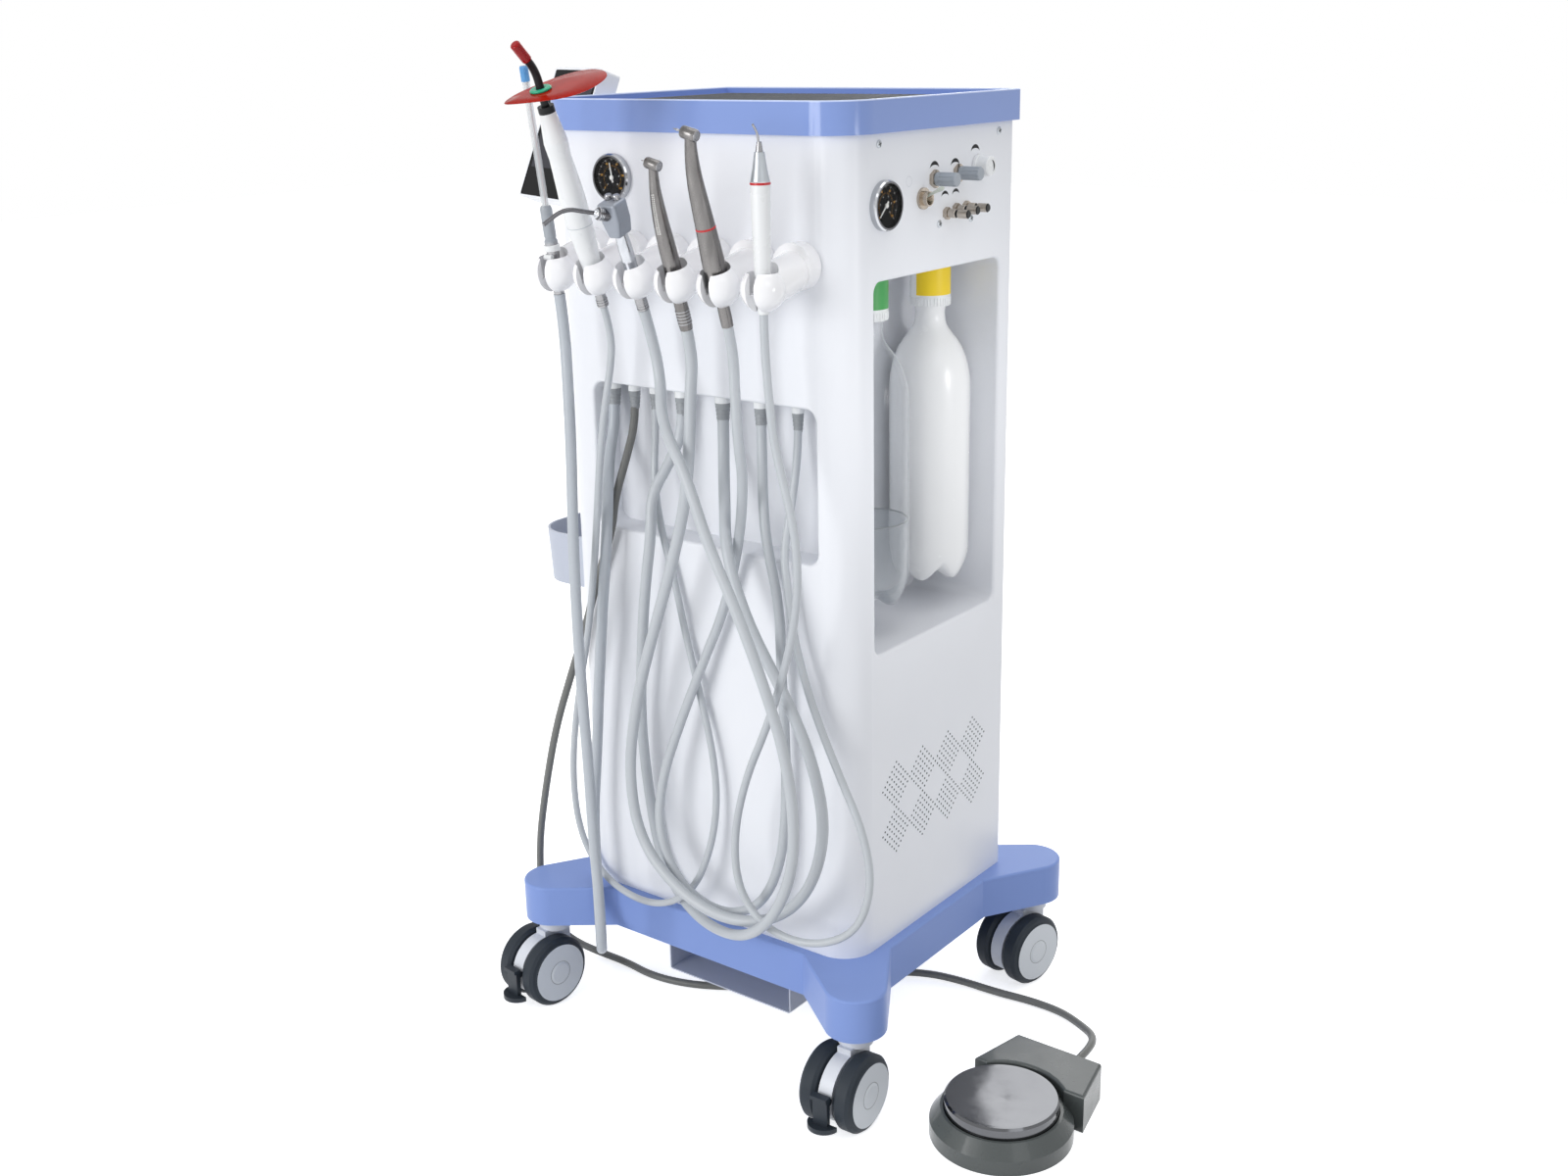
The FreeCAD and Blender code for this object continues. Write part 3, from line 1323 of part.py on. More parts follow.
def make_controls():
    fittings = []
    gap = size("knob_gap")
    for name, y, z in KNOBS:
        fittings.append(hexagon(f"{name}_hex", y, z, size("nut_across"), shaft + gap,
                                size("nut_height")))
        radius, low = size("knob_radius"), size("nut_height") + gap
        knob = turned(name, (
            (0, -size("shaft_inside")), (shaft, -size("shaft_inside")), (shaft, low),
            (radius, low), (radius, low + size("knob_length") - 5),
            (radius - 1.2, low + size("knob_length") - 4), (0, low + size("knob_length") - 4)))
        fluted(knob, name, size("flute_count"), size("flute_radius"),
               radius + size("flute_radius") * 0.55, low + 4, size("knob_length"))
        finish(seat(knob, half_width, y, z, ALONG_X), name)
    for name, y, z in NEEDLE_VALVES:
        fittings.append(hexagon(f"{name}_hex", y, z, size("nut_across") * 0.7, shaft + gap,
                                size("nut_height")))
        radius, low = size("valve_radius"), size("nut_height") + gap
        valve = turned(name, (
            (0, -size("shaft_inside")), (shaft, -size("shaft_inside")), (shaft, low),
            (radius, low), (radius, low + 7), (radius - 0.6, low + 7.6),
            (radius - 0.6, low + 9.4), (radius, low + 10), (radius, size("valve_length") - 1),
            (radius - 1, size("valve_length")), (0, size("valve_length"))))
        finish(seat(valve, half_width, y, z, ALONG_X), name)
    y, z = SCALER_KNOB
    radius = size("scaler_knob_radius")
    knob = turned("scaler_knob", (
        (0, -size("shaft_inside")), (shaft, -size("shaft_inside")), (shaft, gap),
        (radius + 1, gap), (radius + 1, 3), (radius, 4), (radius - 0.6,
        size("scaler_knob_length") - 1), (radius - 1.6, size("scaler_knob_length")),
        (0, size("scaler_knob_length"))))
    finish(seat(knob, half_width, y, z, ALONG_X), "scaler_knob")

    rise, outer = size("toggle_rise"), size("toggle_radius")
    bush = turned("toggle_bush", (
        (outer - 3, -6), (outer, -6), (outer, 0), (outer + 3, 0), (outer + 3, 2.5),
        (outer, 2.5), (outer, rise), (outer - 1, rise), (3.0, 0.5), (3.0, -6)))
    fittings.append(put(bush, half_width, size("toggle_y"), size("toggle_z"), ALONG_X))
    stick = turned("toggle_stick", (
        (0, -2.5), (size("toggle_ball"), -1), (size("toggle_ball"), 1), (1.2, 3),
        (1.4, size("toggle_length") - 8), (2.2, size("toggle_length") - 2),
        (1.4, size("toggle_length")), (0, size("toggle_length"))))
    pin_half = size("toggle_ball") + 0.15
    pin = cylinder("toggle_pin", size("toggle_pin"), 2 * pin_half, 0, pin_half, 0, ALONG_MINUS_Y)
    tilt = Rotation(Vector(0, 1, 0), 90 - float(size("toggle_tilt")))
    finish(seat(fuse("toggle_whole", stick, pin), half_width, size("toggle_y"),
                size("toggle_z"), tilt), "toggle_lever")

    for name in GLANDS:
        radius = size(name) / 2 + size("gland_wall")
        gland = cylinder(f"gland_{name}", radius, size("gland_length"), gland_x(name),
                         gland_y, size("recess_top") - size("gland_length"))
        fittings.append(gland)
    finish(seat(group("panel_fittings", *fittings)), "panel_fittings")


# ---------------------------------------------------------------- bottles


def make_bottles():
    caps = []
    ceiling = size("alcove_top")
    radius, thick = size("bottle_radius"), size("bottle_wall")
    neck, rise = size("bottle_neck"), size("bottle_dome")
    low = size("alcove_bottom") + size("bottle_under")
    cap_bottom = ceiling - size("cap_height")
    mouth = cap_bottom + size("neck_in_cap")
    collar = cap_bottom - size("collar_under_cap")
    shoulder = collar - size("neck_length") - rise
    quarter = [math.radians(90 * step / 7) for step in range(8)]
    outside = [(neck + (radius - neck) * math.cos(angle), shoulder + rise * math.sin(angle))
               for angle in quarter]
    inside = [(neck - thick + (radius - neck) * math.cos(angle),
               shoulder + (rise - thick) * math.sin(angle)) for angle in reversed(quarter)]
    for name, y in bottle_places:
        inner = neck + size("neck_clearance")
        cap = turned(f"cap_{name}", (
            (size("tube_radius"), mouth + 1), (inner, mouth + 1), (inner, cap_bottom),
            (size("cap_radius"), cap_bottom),
            (size("cap_radius"), ceiling - size("cap_flange_height")),
            (size("cap_flange"), ceiling - size("cap_flange_height")),
            (size("cap_flange"), ceiling), (0, ceiling),
            (0, low + size("tube_above_floor")),
            (size("tube_radius"), low + size("tube_above_floor"))))
        caps.append(put(cap, bottle_x, y, 0))
        bottle = turned(f"bottle_{name}", (
            (0, low + 4), (10, low + 4), (22, low), (30, low), (radius - 2, low + 8),
            (radius, low + 20), *outside, (neck, collar), (neck + 3, collar),
            (neck + 3, collar + 3), (neck, collar + 3), (neck, mouth), (neck - thick, mouth),
            *inside, (radius - thick, low + 20), (radius - 2 - thick, low + 10),
            (29, low + thick), (22, low + thick), (10, low + 4 + thick), (0, low + 4 + thick)))
        finish(seat(bottle, bottle_x, y, 0), f"bottle_{name}")
    finish(seat(group("bottle_caps", *caps)), "bottle_caps")


# ---------------------------------------------------------------- touch panel

panel_turn = Rotation(Vector(0, 0, 1), float(size("panel_yaw"))).multiply(
    Rotation(Vector(1, 0, 0), float(-size("panel_tilt"))))
swivel_turn = Rotation(Vector(0, 0, 1), float(size("panel_yaw")))


def hinge_place():
    """The tilt pin's centre, behind the middle of the panel's back."""
    back = panel_turn.multVec(Vector(0, float(size("panel_thickness") + size("hinge_behind")), 0))
    return panel_x + back.x, size("panel_y") + back.y, size("panel_z") + back.z


def make_panel():
    """A tilting housing on a swivelling arm on a wall bracket."""
    housing = new_body("panel_box")
    face = new_sketch(housing, "panel_face", "XZ", 0)
    half_x, half_z = size("panel_width") / 2, size("panel_height") / 2
    corner = size("panel_round")
    rounded_rectangle(face, -half_x, half_x, -half_z, half_z, (corner,) * 4)
    extrude(housing, face, size("panel_thickness"), back=True)
    doc.recompute()
    screen = new_sketch(housing, "screen", "XZ", 0)
    inset = size("glass_inset")
    rounded_rectangle(screen, inset - half_x, half_x - inset, inset - half_z, half_z - inset,
                      (corner / 2,) * 4)
    extrude(housing, screen, 0.6, kind="Pocket")
    pin_y = size("panel_thickness") + size("hinge_behind")
    half = size("hinge_half")
    parts = [housing]
    for side in (-1, 1):
        near = side * (half + 0.3)
        far = side * (half + 0.3 + size("ear_thickness"))
        low, high = (near, far) if side > 0 else (far, near)
        parts.append(block(f"ear_{side + 1}", low, high, size("panel_thickness") - 0.5, pin_y,
                           -size("hinge_radius"), size("hinge_radius")))
        parts.append(cylinder(f"ear_end_{side + 1}", size("hinge_radius"),
                              size("ear_thickness"), low, pin_y, 0, ALONG_X))
    parts.append(cylinder("tilt_pin", size("hinge_pin"), 2 * half + 2 * size("ear_thickness"),
                          -half - size("ear_thickness"), pin_y, 0, ALONG_X))
    box = fuse("panel_housing", *parts)
    finish(seat(box, panel_x, size("panel_y"), size("panel_z"), panel_turn),
           "panel_housing")

    pin_x, pin_at_y, pin_z = hinge_place()
    reach = swivel_turn.inverted().multVec(Vector(
        float(pin_x - post_x), float(pin_at_y - size("post_y")), 0))
    top = size("post_top")
    knuckle = cylinder("knuckle", size("hinge_radius"), 2 * half, reach.x - half, reach.y,
                       pin_z - top, ALONG_X)
    bar = block("arm_bar", reach.x - half, 8, reach.y + 6, 8, 0.3, 7)
    riser = block("arm_riser", reach.x - half, reach.x + half, reach.y - 1, reach.y + 12,
                  0.3, pin_z - top)
    cap = cylinder("arm_cap", size("post_radius"), 7, 0, 0, 0.3)
    spigot = cylinder("arm_spigot", 5, 16, 0, 0, -15.5)
    bore = cylinder("knuckle_bore", size("hinge_pin") + size("hinge_clearance"),
                    4 * half, reach.x - 2 * half, reach.y, pin_z - top, ALONG_X)
    arm = cut("panel_arm", fuse("arm_cast", knuckle, bar, riser, cap, spigot), bore)
    finish(seat(arm, post_x, size("post_y"), top, swivel_turn), "panel_arm")

    wall_x = -half_width
    width = size("bracket_width") / 2
    plate = block("bracket_plate", wall_x - size("bracket_plate"), wall_x,
                  size("post_y") - width, size("post_y") + width,
                  top - size("bracket_height"), top)
    shelf = block("bracket_shelf", post_x, wall_x, size("post_y") - size("post_radius"),
                  size("post_y") + size("post_radius"), top - size("bracket_thickness"), top)
    post = cylinder("bracket_post", size("post_radius"), size("bracket_thickness"),
                    post_x, size("post_y"), top - size("bracket_thickness"))
    socket = cylinder("bracket_socket", 5 + size("hinge_clearance"), 20, post_x,
                      size("post_y"), top - 16)
    bracket = cut("panel_bracket", fuse("bracket_cast", plate, shelf, post), socket)
    finish(seat(bracket), "panel_bracket")


# ---------------------------------------------------------------- foot pedal


def make_pedal():
    body = new_body("pedal_cast")
    plan = new_sketch(body, "block_plan", "XY", 0)
    shift = size("block_shift")
    outline(plan, ((shift - size("block_front_half"), size("block_front")),
                   (shift + size("block_front_half"), size("block_front")),
                   (shift + size("block_back_half"), size("block_back")),
                   (shift - size("block_back_half"), size("block_back"))))
    extrude(body, plan, size("block_height"))
    scoop = new_sketch(body, "scoop", "XY", size("block_height"))
    circle(scoop, 0, 0, size("block_scoop"))
    hollow = extrude(body, scoop, size("block_height") - size("ring_wall"), kind="Pocket")
    top_z = float(size("block_height"))
    dress(body, hollow, lambda middle, direction: middle.z > top_z - 0.01
          or (abs(direction.z) > 0.99 and middle.y > float(size("block_back")) - 1),
          size("block_round"))
    ring = turned("pedal_ring", (
        (0, 0), (size("ring_radius"), 0), (size("ring_radius"), size("ring_wall")),
        (size("ring_shoulder"), size("ring_top")),
        (size("disc_radius") + size("disc_gap"), size("ring_top")),
        (size("disc_radius") + size("disc_gap"), size("pedal_floor")),
        (0, size("pedal_floor"))))
    well = cylinder("pedal_well", size("disc_radius") + size("disc_gap"), 60, 0, 0,
                    size("pedal_floor"))
    relief = doc.addObject("Part::Cone", "pedal_relief")
    bind(relief, Radius1=size("relief_radius"), Radius2=size("foot_hose") / 2 + 1,
         Height=size("relief_length"))
    put(relief, size("relief_x"), size("block_back") - 1, size("relief_z"),
        Rotation(Vector(1, 0, 0), -90))
    housing = cut("pedal_housing", fuse("pedal_whole", body, ring, relief), well)
    finish(seat(housing, size("pedal_x"), pedal_y, 0), "pedal_housing")

    rim = size("disc_top") - size("disc_rim")
    disc = turned("pedal_disc", (
        (0, size("pedal_floor") + size("disc_travel") + 0.8),
        (size("disc_stem"), size("pedal_floor") + size("disc_travel") + 0.8),
        (size("disc_stem"), size("disc_top") - 4.5),
        (size("disc_radius") - 2, size("disc_top") - 4.5),
        (size("disc_radius") - 2, rim), (size("disc_radius"), rim),
        (size("disc_radius"), size("disc_top") - 2), (size("disc_radius") - 2, size("disc_top")),
        (size("disc_radius") - 5, size("disc_top")), (0, size("disc_top") - size("disc_dish"))))
    finish(seat(disc, size("pedal_x"), pedal_y, 0), "pedal_disc")


# ---------------------------------------------------------------- compressor


def make_compressor():
    """A lying air tank on two saddles with the pump on top."""
    x0 = size("tank_x") - size("tank_length") / 2
    floor = size("cabinet_bottom") + wall
    tank = cylinder("tank", size("tank_radius"), size("tank_length"), x0, size("tank_y"),
                    size("tank_z"), ALONG_X)
    feet = []
    for share in (0.2, 0.8):
        middle = x0 + share * size("tank_length")
        feet.append(block(f"saddle_{share}", middle - 8, middle + 8,
                          size("tank_y") - size("foot_width"), size("tank_y") + size("foot_width"),
                          floor, size("tank_z")))
    pump = cylinder("pump", size("motor_radius"), size("motor_height"), size("tank_x"),
                    size("tank_y"), size("tank_z") + size("tank_radius") - 12)
    head = cylinder("pump_head", size("motor_radius") * 0.45, size("motor_radius") * 1.6,
                    size("tank_x"), size("tank_y"),
                    size("tank_z") + size("tank_radius") + size("motor_height") * 0.55, ALONG_X)
    whole = fuse("compressor", tank, *feet, pump, head)
    return finish(seat(whole), "compressor")


# ---------------------------------------------------------------- hoses

HOSE_TOOLS = {"suction_hose": "suction", "curing_hose": "curing", "syringe_hose": "syringe",
              "turbine_hose": "turbine", "motor_hose": "motor", "scaler_hose": "scaler"}

# Each hose's own route by hand between its two ends, from the cabinet's centre line on
# the floor, on a cabinet of the width and depth that the sheet gives for the routes.
ROUTES = {
    "suction_hose": (
        (-110, -190, 671), (-108, -193, 606), (-108, -197, 530), (-105, -201, 452),
        (-100, -205, 373), (-94, -208, 303), (-88, -213, 232), (-78.5, -219, 165),
        (-78.5, -219, 116), (-94, -203.5, 94), (-116, -181.5, 94), (-131.5, -166, 116),
        (-131.5, -166, 165), (-134, -163, 225), (-128, -160, 289), (-118, -162, 366),
        (-108, -163, 441), (-99, -162, 508), (-97, -158, 558), (-112, -137, 598),
        (-117, -120, 632),
    ),
    "curing_hose": (
        (-71, -172, 697), (-77, -178, 655), (-86, -179, 600), (-103, -172, 515),
        (-127, -163, 422), (-157, -156, 334), (-175, -150, 252), (-175, -144, 182),
        (-142, -147, 143), (-83, -162, 139), (-35, -168, 149), (1, -166, 176), (17, -157, 220),
        (23, -151, 270), (18, -149, 320), (2, -146, 375), (-14, -146, 434), (-27, -145, 491),
        (-43, -144, 540), (-56, -136, 585), (-64, -120, 635),
    ),
    "syringe_hose": (
        (-12, -170, 690), (3, -189, 655), (42, -203, 614), (66, -205, 555), (98, -208, 502),
        (128, -209, 438), (152, -209, 373), (162, -210, 309), (159, -213, 253),
        (133, -212, 201), (83, -193, 160), (21, -170, 144), (-30, -153, 154), (-60, -147, 192),
        (-69, -150, 266), (-69, -156, 344), (-59, -160, 422), (-51, -161, 481),
        (-41, -160, 536), (-47, -151, 572), (-37, -133, 602), (-30, -120, 632),
    ),
    "turbine_hose": (
        (28, -176, 684), (29, -181, 640), (24, -183, 584), (1, -179, 519), (-26, -178, 449),
        (-52, -178, 375), (-66, -181, 295), (-50, -187, 227), (-3, -191, 189), (53, -189, 170),
        (107, -179, 178), (150, -173, 219), (168, -170, 285), (154, -169, 350),
        (125, -171, 410), (92, -173, 461), (70, -172, 505), (54, -165, 543), (40, -147, 574),
        (27, -131, 602), (19, -120, 630),
    ),
    "motor_hose": (
        (79, -176, 690), (83, -178, 640), (78, -166, 607), (60, -151, 545), (38, -148, 474),
        (12, -152, 416), (-10, -160, 358), (-34, -168, 288), (-35, -175, 232), (-7, -179, 185),
        (42, -175, 165), (84, -166, 181), (105, -158, 228), (109, -152, 293), (107, -150, 367),
        (104, -150, 429), (104, -150, 487), (86, -146, 548), (77, -137, 588), (64, -120, 628),
    ),
    "scaler_hose": (
        (129, -192, 695), (134, -193, 650), (157, -195, 580), (159, -194, 518),
        (142, -192, 450), (118, -190, 387), (89, -189, 326), (72, -188, 261), (78, -190, 207),
        (114, -192, 177), (163, -185, 173), (205, -175, 196), (218, -168, 244),
        (205, -163, 293), (174, -158, 341), (143, -155, 399), (122, -153, 458),
        (114, -151, 508), (107, -147, 540), (111, -136, 590), (106, -120, 634),
    ),
    "foot_hose": (
        (-90, -120, 634), (-93, -133, 598), (-101, -143, 560), (-104, -146, 528),
        (-127, -146, 474), (-146, -148, 419), (-171, -148, 361), (-196, -148, 301),
        (-221, -144, 226), (-248, -134, 146), (-262, -122, 71), (-255, -110, 31),
        (-236, -97, 11), (-205, -91, 5), (-168, -90, 5), (-127, -96, 5), (-85, -89, 5),
        (-43, -68, 5), (-4, -35, 5), (38, 10, 5), (76, 56, 5), (116, 82, 5), (156, 90, 5),
        (200, 91, 5), (240, 97, 5), (276, 96, 5), (306, 82, 7), (332, 60, 14),
    ),
}


def hose_points(name):
    """A hose's whole route: out of its instrument or the pedal, and up into its gland."""
    gap = float(size("hose_end_gap"))
    deeper = float(half_depth - size("route_depth") / 2)
    share = float(size("cabinet_width") / size("route_width"))
    middle = [Vector(x * share, y - deeper, z) for x, y, z in ROUTES[name]]
    gland = Vector(float(gland_x(name)), float(gland_y),
                   float(size("recess_top") - size("gland_length")) - gap)
    if name in HOSE_TOOLS:
        tool = HOSE_TOOLS[name]
        axis = lean(tool).multVec(Vector(0, 0, 1))
        ball = Vector(float(holder_x(TOOLS.index(tool))), float(holder_y),
                      float(size("holder_z")))
        lead = [ball.sub(Vector(axis).multiply(REACH[tool] + gap + run))
                for run in (0, float(size("hose_lead")))]
        return lead + middle + [gland]
    relief = Vector(float(size("pedal_x") + size("relief_x")),
                    float(pedal_y + size("block_back") + size("relief_length")) - 1 + gap,
                    float(size("relief_z")))
    return [gland] + middle + [relief.add(Vector(0, 26, 0)), relief]


def make_hoses():
    for name in ROUTES:
        points = hose_points(name)
        radii = []
        path = rounded_path(points, report=radii)
        diameter = float(size(name))
        start = path.Edges[0]
        ring = Part.Wire([Part.makeCircle(diameter / 2, points[0],
                                          start.tangentAt(start.FirstParameter))])
        tube = path.makePipeShell([ring], True, False)
        full = math.pi * diameter ** 2 / 4 * path.Length
        print(f"{name}: {path.Length:.0f} mm, tightest bend {min(radii):.0f} mm, "
              f"volume {tube.Volume / full:.4f} of section times length")
        finish(seat(shaped(name, tube)), name)


# ---------------------------------------------------------------- the whole unit

make_base()
make_cabinet()
make_back_cover()
make_tray()
make_mat()
make_shelf()
make_bin()
make_caster("front_right", 1, -1, "yaw_front_right", True)
make_caster("front_left", -1, -1, "yaw_front_left", True)
make_caster("back_right", 1, 1, "yaw_back_right", False)
make_caster("back_left", -1, 1, "yaw_back_left", False)
make_holders()
make_suction()
make_curing_light()
make_syringe()
make_turbine()
make_contra_angle()
make_scaler()
make_gauges()
make_controls()
make_bottles()
make_panel()
make_pedal()
make_compressor()
make_hoses()
doc.recompute()

for thing in doc.Objects:
    if "Invalid" in thing.State or "Error" in thing.State:
        raise RuntimeError(f"{thing.Name} failed: {thing.State}")
for node in NODES:
    if node.Shape.isNull() or not node.Shape.isValid():
        raise RuntimeError(f"{node.Label} has no valid shape")

os.makedirs("parts", exist_ok=True)
for node in NODES:
    node.Shape.exportStep(os.path.join("parts", f"{node.Label}.step"))
print(len(NODES), "sub-parts")
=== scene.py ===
"""Looks of the portable dental unit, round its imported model.

The camera, the hoses' routes and the studio are in metres, all other pieces in millimetres.
"""

import json
import math

import bmesh
import bpy
from mathutils import Matrix, Vector

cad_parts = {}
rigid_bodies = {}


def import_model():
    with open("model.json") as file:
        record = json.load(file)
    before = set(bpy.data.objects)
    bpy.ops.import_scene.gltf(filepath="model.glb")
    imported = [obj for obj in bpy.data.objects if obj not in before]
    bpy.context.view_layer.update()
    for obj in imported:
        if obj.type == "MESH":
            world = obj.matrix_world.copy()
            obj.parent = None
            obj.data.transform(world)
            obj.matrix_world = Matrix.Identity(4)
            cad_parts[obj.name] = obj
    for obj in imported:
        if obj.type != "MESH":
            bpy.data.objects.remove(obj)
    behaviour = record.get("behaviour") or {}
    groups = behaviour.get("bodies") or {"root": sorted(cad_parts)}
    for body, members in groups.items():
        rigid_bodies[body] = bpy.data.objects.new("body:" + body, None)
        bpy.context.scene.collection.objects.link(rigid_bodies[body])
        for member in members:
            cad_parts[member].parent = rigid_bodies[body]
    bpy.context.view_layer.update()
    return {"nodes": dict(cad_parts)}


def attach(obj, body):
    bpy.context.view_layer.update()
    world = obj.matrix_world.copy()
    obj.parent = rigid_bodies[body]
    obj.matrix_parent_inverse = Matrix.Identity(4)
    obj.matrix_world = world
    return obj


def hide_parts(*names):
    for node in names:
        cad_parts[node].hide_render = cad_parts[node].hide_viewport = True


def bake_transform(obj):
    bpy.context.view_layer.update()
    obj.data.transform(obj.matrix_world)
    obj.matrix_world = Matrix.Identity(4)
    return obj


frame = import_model()
nodes = frame["nodes"]
ORIGIN = Vector((-0.0425, 0.04245, 0))  # the cabinet's centre line on the floor
MM = 0.001


# ---------------------------------------------------------------- camera

YAW, PITCH, ROLL = math.radians(37.45), math.radians(17.6), math.radians(-1.1285)
STAND = Vector((1.0384, -1.3631, 0.9912))  # from the cabinet's centre line
forward = Vector((-math.sin(YAW) * math.cos(PITCH), math.cos(YAW) * math.cos(PITCH),
                  -math.sin(PITCH)))
level = Vector((math.cos(YAW), math.sin(YAW), 0))
upward = level.cross(forward)
across = level * math.cos(ROLL) + upward * math.sin(ROLL)
above = upward * math.cos(ROLL) - level * math.sin(ROLL)
lens = bpy.data.cameras.new("camera")
lens.sensor_width = 36
lens.lens = 40.43
camera = bpy.data.objects.new("camera", lens)
aim = Matrix((across, above, -forward)).transposed().to_4x4()
camera.matrix_world = Matrix.Translation(ORIGIN + STAND) @ aim
bpy.context.scene.collection.objects.link(camera)
bpy.context.scene.camera = camera


# ---------------------------------------------------------------- looks

MIX_A, MIX_B, MIX_RESULT = 6, 7, 2  # a Mix node's sockets for colours
NOISE_RANGE = (0.3, 0.7)  # nearly all of a noise lies in it
SMOOTHEST = 0.02
FACING_FROM = 0.4  # a clear look thickens from this turn away from the eye
LOOKS = {}


def linear(shown):
    """A level as a screen shows it, 0 to 255, as the linear value that a shader takes."""
    shown /= 255
    return shown / 12.92 if shown <= 0.04045 else ((shown + 0.055) / 1.055) ** 2.4


def add_look(name, colour, roughness, metallic=0.0, drift=0.03, patch=14.0, grain=1400.0,
             bump=0.03, smudge=0.06, stretch=(1, 1, 1), edge=None, **sockets):
    """A surface whose colour drifts softly and whose gloss and relief have a fine grain.

    edge gives a clear one's density where it faces the eye and where it turns away.
    """
    made = bpy.data.materials.new(name)
    made.use_nodes = True
    colour = [linear(shown) for shown in colour]
    made.diffuse_color = (*colour, 1)
    shader = made.node_tree.nodes["Principled BSDF"]
    node, link = made.node_tree.nodes.new, made.node_tree.links.new
    shader.inputs["Metallic"].default_value = metallic
    for socket, value in sockets.items():
        shader.inputs[socket.replace("_", " ")].default_value = value
    scale = node("ShaderNodeMapping")
    scale.inputs["Scale"].default_value = stretch
    link(node("ShaderNodeTexCoord").outputs["Object"], scale.inputs["Vector"])

    def noise(size, detail):
        pattern = node("ShaderNodeTexNoise")
        pattern.inputs["Scale"].default_value = size
        pattern.inputs["Detail"].default_value = detail
        link(scale.outputs["Vector"], pattern.inputs["Vector"])
        return pattern.outputs["Fac"]

    mix = node("ShaderNodeMix")
    mix.data_type = "RGBA"
    for socket, share in ((MIX_A, 1 - drift), (MIX_B, 1 + drift)):
        mix.inputs[socket].default_value = (*(min(1, part * share) for part in colour), 1)
    link(noise(patch, 4), mix.inputs[0])
    link(mix.outputs[MIX_RESULT], shader.inputs["Base Color"])
    gloss = node("ShaderNodeMapRange")
    gloss.inputs["From Min"].default_value, gloss.inputs["From Max"].default_value = NOISE_RANGE
    gloss.inputs["To Min"].default_value = max(SMOOTHEST, roughness - smudge)
    gloss.inputs["To Max"].default_value = min(1, roughness + smudge)
    link(noise(patch * 3.1, 5), gloss.inputs["Value"])
    link(gloss.outputs["Result"], shader.inputs["Roughness"])
    if edge:
        density = node("ShaderNodeMapRange")
        density.inputs["From Min"].default_value = FACING_FROM
        density.inputs["To Min"].default_value, density.inputs["To Max"].default_value = edge
        link(node("ShaderNodeLayerWeight").outputs["Facing"], density.inputs["Value"])
        link(density.outputs["Result"], shader.inputs["Alpha"])
    relief = node("ShaderNodeBump")
    relief.inputs["Strength"].default_value = bump
    relief.inputs["Distance"].default_value = MM
    link(noise(grain, 2), relief.inputs["Height"])
    link(relief.outputs["Normal"], shader.inputs["Normal"])
    LOOKS[name] = made


add_look("shell", (240, 242, 247), 0.34, drift=0.01, bump=0.02, grain=2200,
         Specular_IOR_Level=0.35, Coat_Weight=0.12, Coat_Roughness=0.2)
add_look("blue", (136, 160, 220), 0.36, drift=0.015, bump=0.05, grain=1500, smudge=0.02,
         Specular_IOR_Level=0.14)
add_look("blue_gloss", (133, 158, 219), 0.4, drift=0.015, bump=0.04, grain=1500, smudge=0.02,
         Specular_IOR_Level=0.1, Coat_Weight=0.8, Coat_Roughness=0.12)
# the tray's top edge in a paler blue: a painted highlight along its lit edge
add_look("rim", (196, 210, 244), 0.3, drift=0.015, grain=1500)
add_look("mat", (66, 70, 76), 0.62, drift=0.05, bump=0.12, grain=1800, Specular_IOR_Level=0.2)
add_look("sheet", (192, 198, 212), 0.45, drift=0.02, bump=0.05, grain=1600)
add_look("holder", (252, 252, 254), 0.16, drift=0.01, bump=0.01, Coat_Weight=0.4,
         Coat_Roughness=0.08)
add_look("caster", (222, 226, 234), 0.36, drift=0.02, bump=0.04)
add_look("tyre", (44, 51, 59), 0.55, drift=0.06, bump=0.08, grain=900, Specular_IOR_Level=0.25)
add_look("hub", (214, 219, 225), 0.4, drift=0.02, bump=0.04)
add_look("hose", (190, 195, 200), 0.36, drift=0.04, patch=30)
add_look("suction_hose", (184, 190, 197), 0.34, drift=0.04, patch=30)
add_look("foot_hose", (116, 117, 115), 0.4, drift=0.05, patch=40, bump=0.04,
         Specular_IOR_Level=0.35)
add_look("steel", (150, 150, 152), 0.26, 1.0, drift=0.08, bump=0.02, patch=60)
add_look("nickel", (178, 168, 156), 0.26, 1.0, drift=0.1, bump=0.04, patch=90)
add_look("brass", (168, 136, 84), 0.25, 1.0, drift=0.08, patch=90)
# streaks along the handpieces' length: brushed grain, made strong as painted reflection bands
add_look("dark_steel", (116, 114, 113), 0.28, 1.0, drift=0.42, bump=0.06, patch=150, grain=900,
         stretch=(1, 1, 0.06))
# metal with strong lighter and darker streaks along its length: painted reflection streaks
add_look("painted_reflection_streaks", (188, 191, 196), 0.16, 0.85, drift=0.32, bump=0.05, patch=260, grain=900,
         stretch=(1, 1, 0.03))
add_look("chrome", (186, 188, 192), 0.1, 1.0, drift=0.1, bump=0.004, smudge=0.03, patch=70)
add_look("mirror", (100, 101, 104), 0.12, 1.0, bump=0.003, smudge=0.04, patch=30)
add_look("gun_metal", (104, 104, 107), 0.26, 1.0, drift=0.08, bump=0.02, patch=60)
add_look("satin", (176, 181, 186), 0.34, 0.9, drift=0.05, patch=60)
add_look("black", (20, 21, 23), 0.35, drift=0.08, Specular_IOR_Level=0.25)
add_look("valve_metal", (186, 178, 168), 0.34, 1.0, drift=0.1, bump=0.04, patch=90)
add_look("dial", (6, 6, 7), 0.7, drift=0.08, bump=0.02, Specular_IOR_Level=0.05)
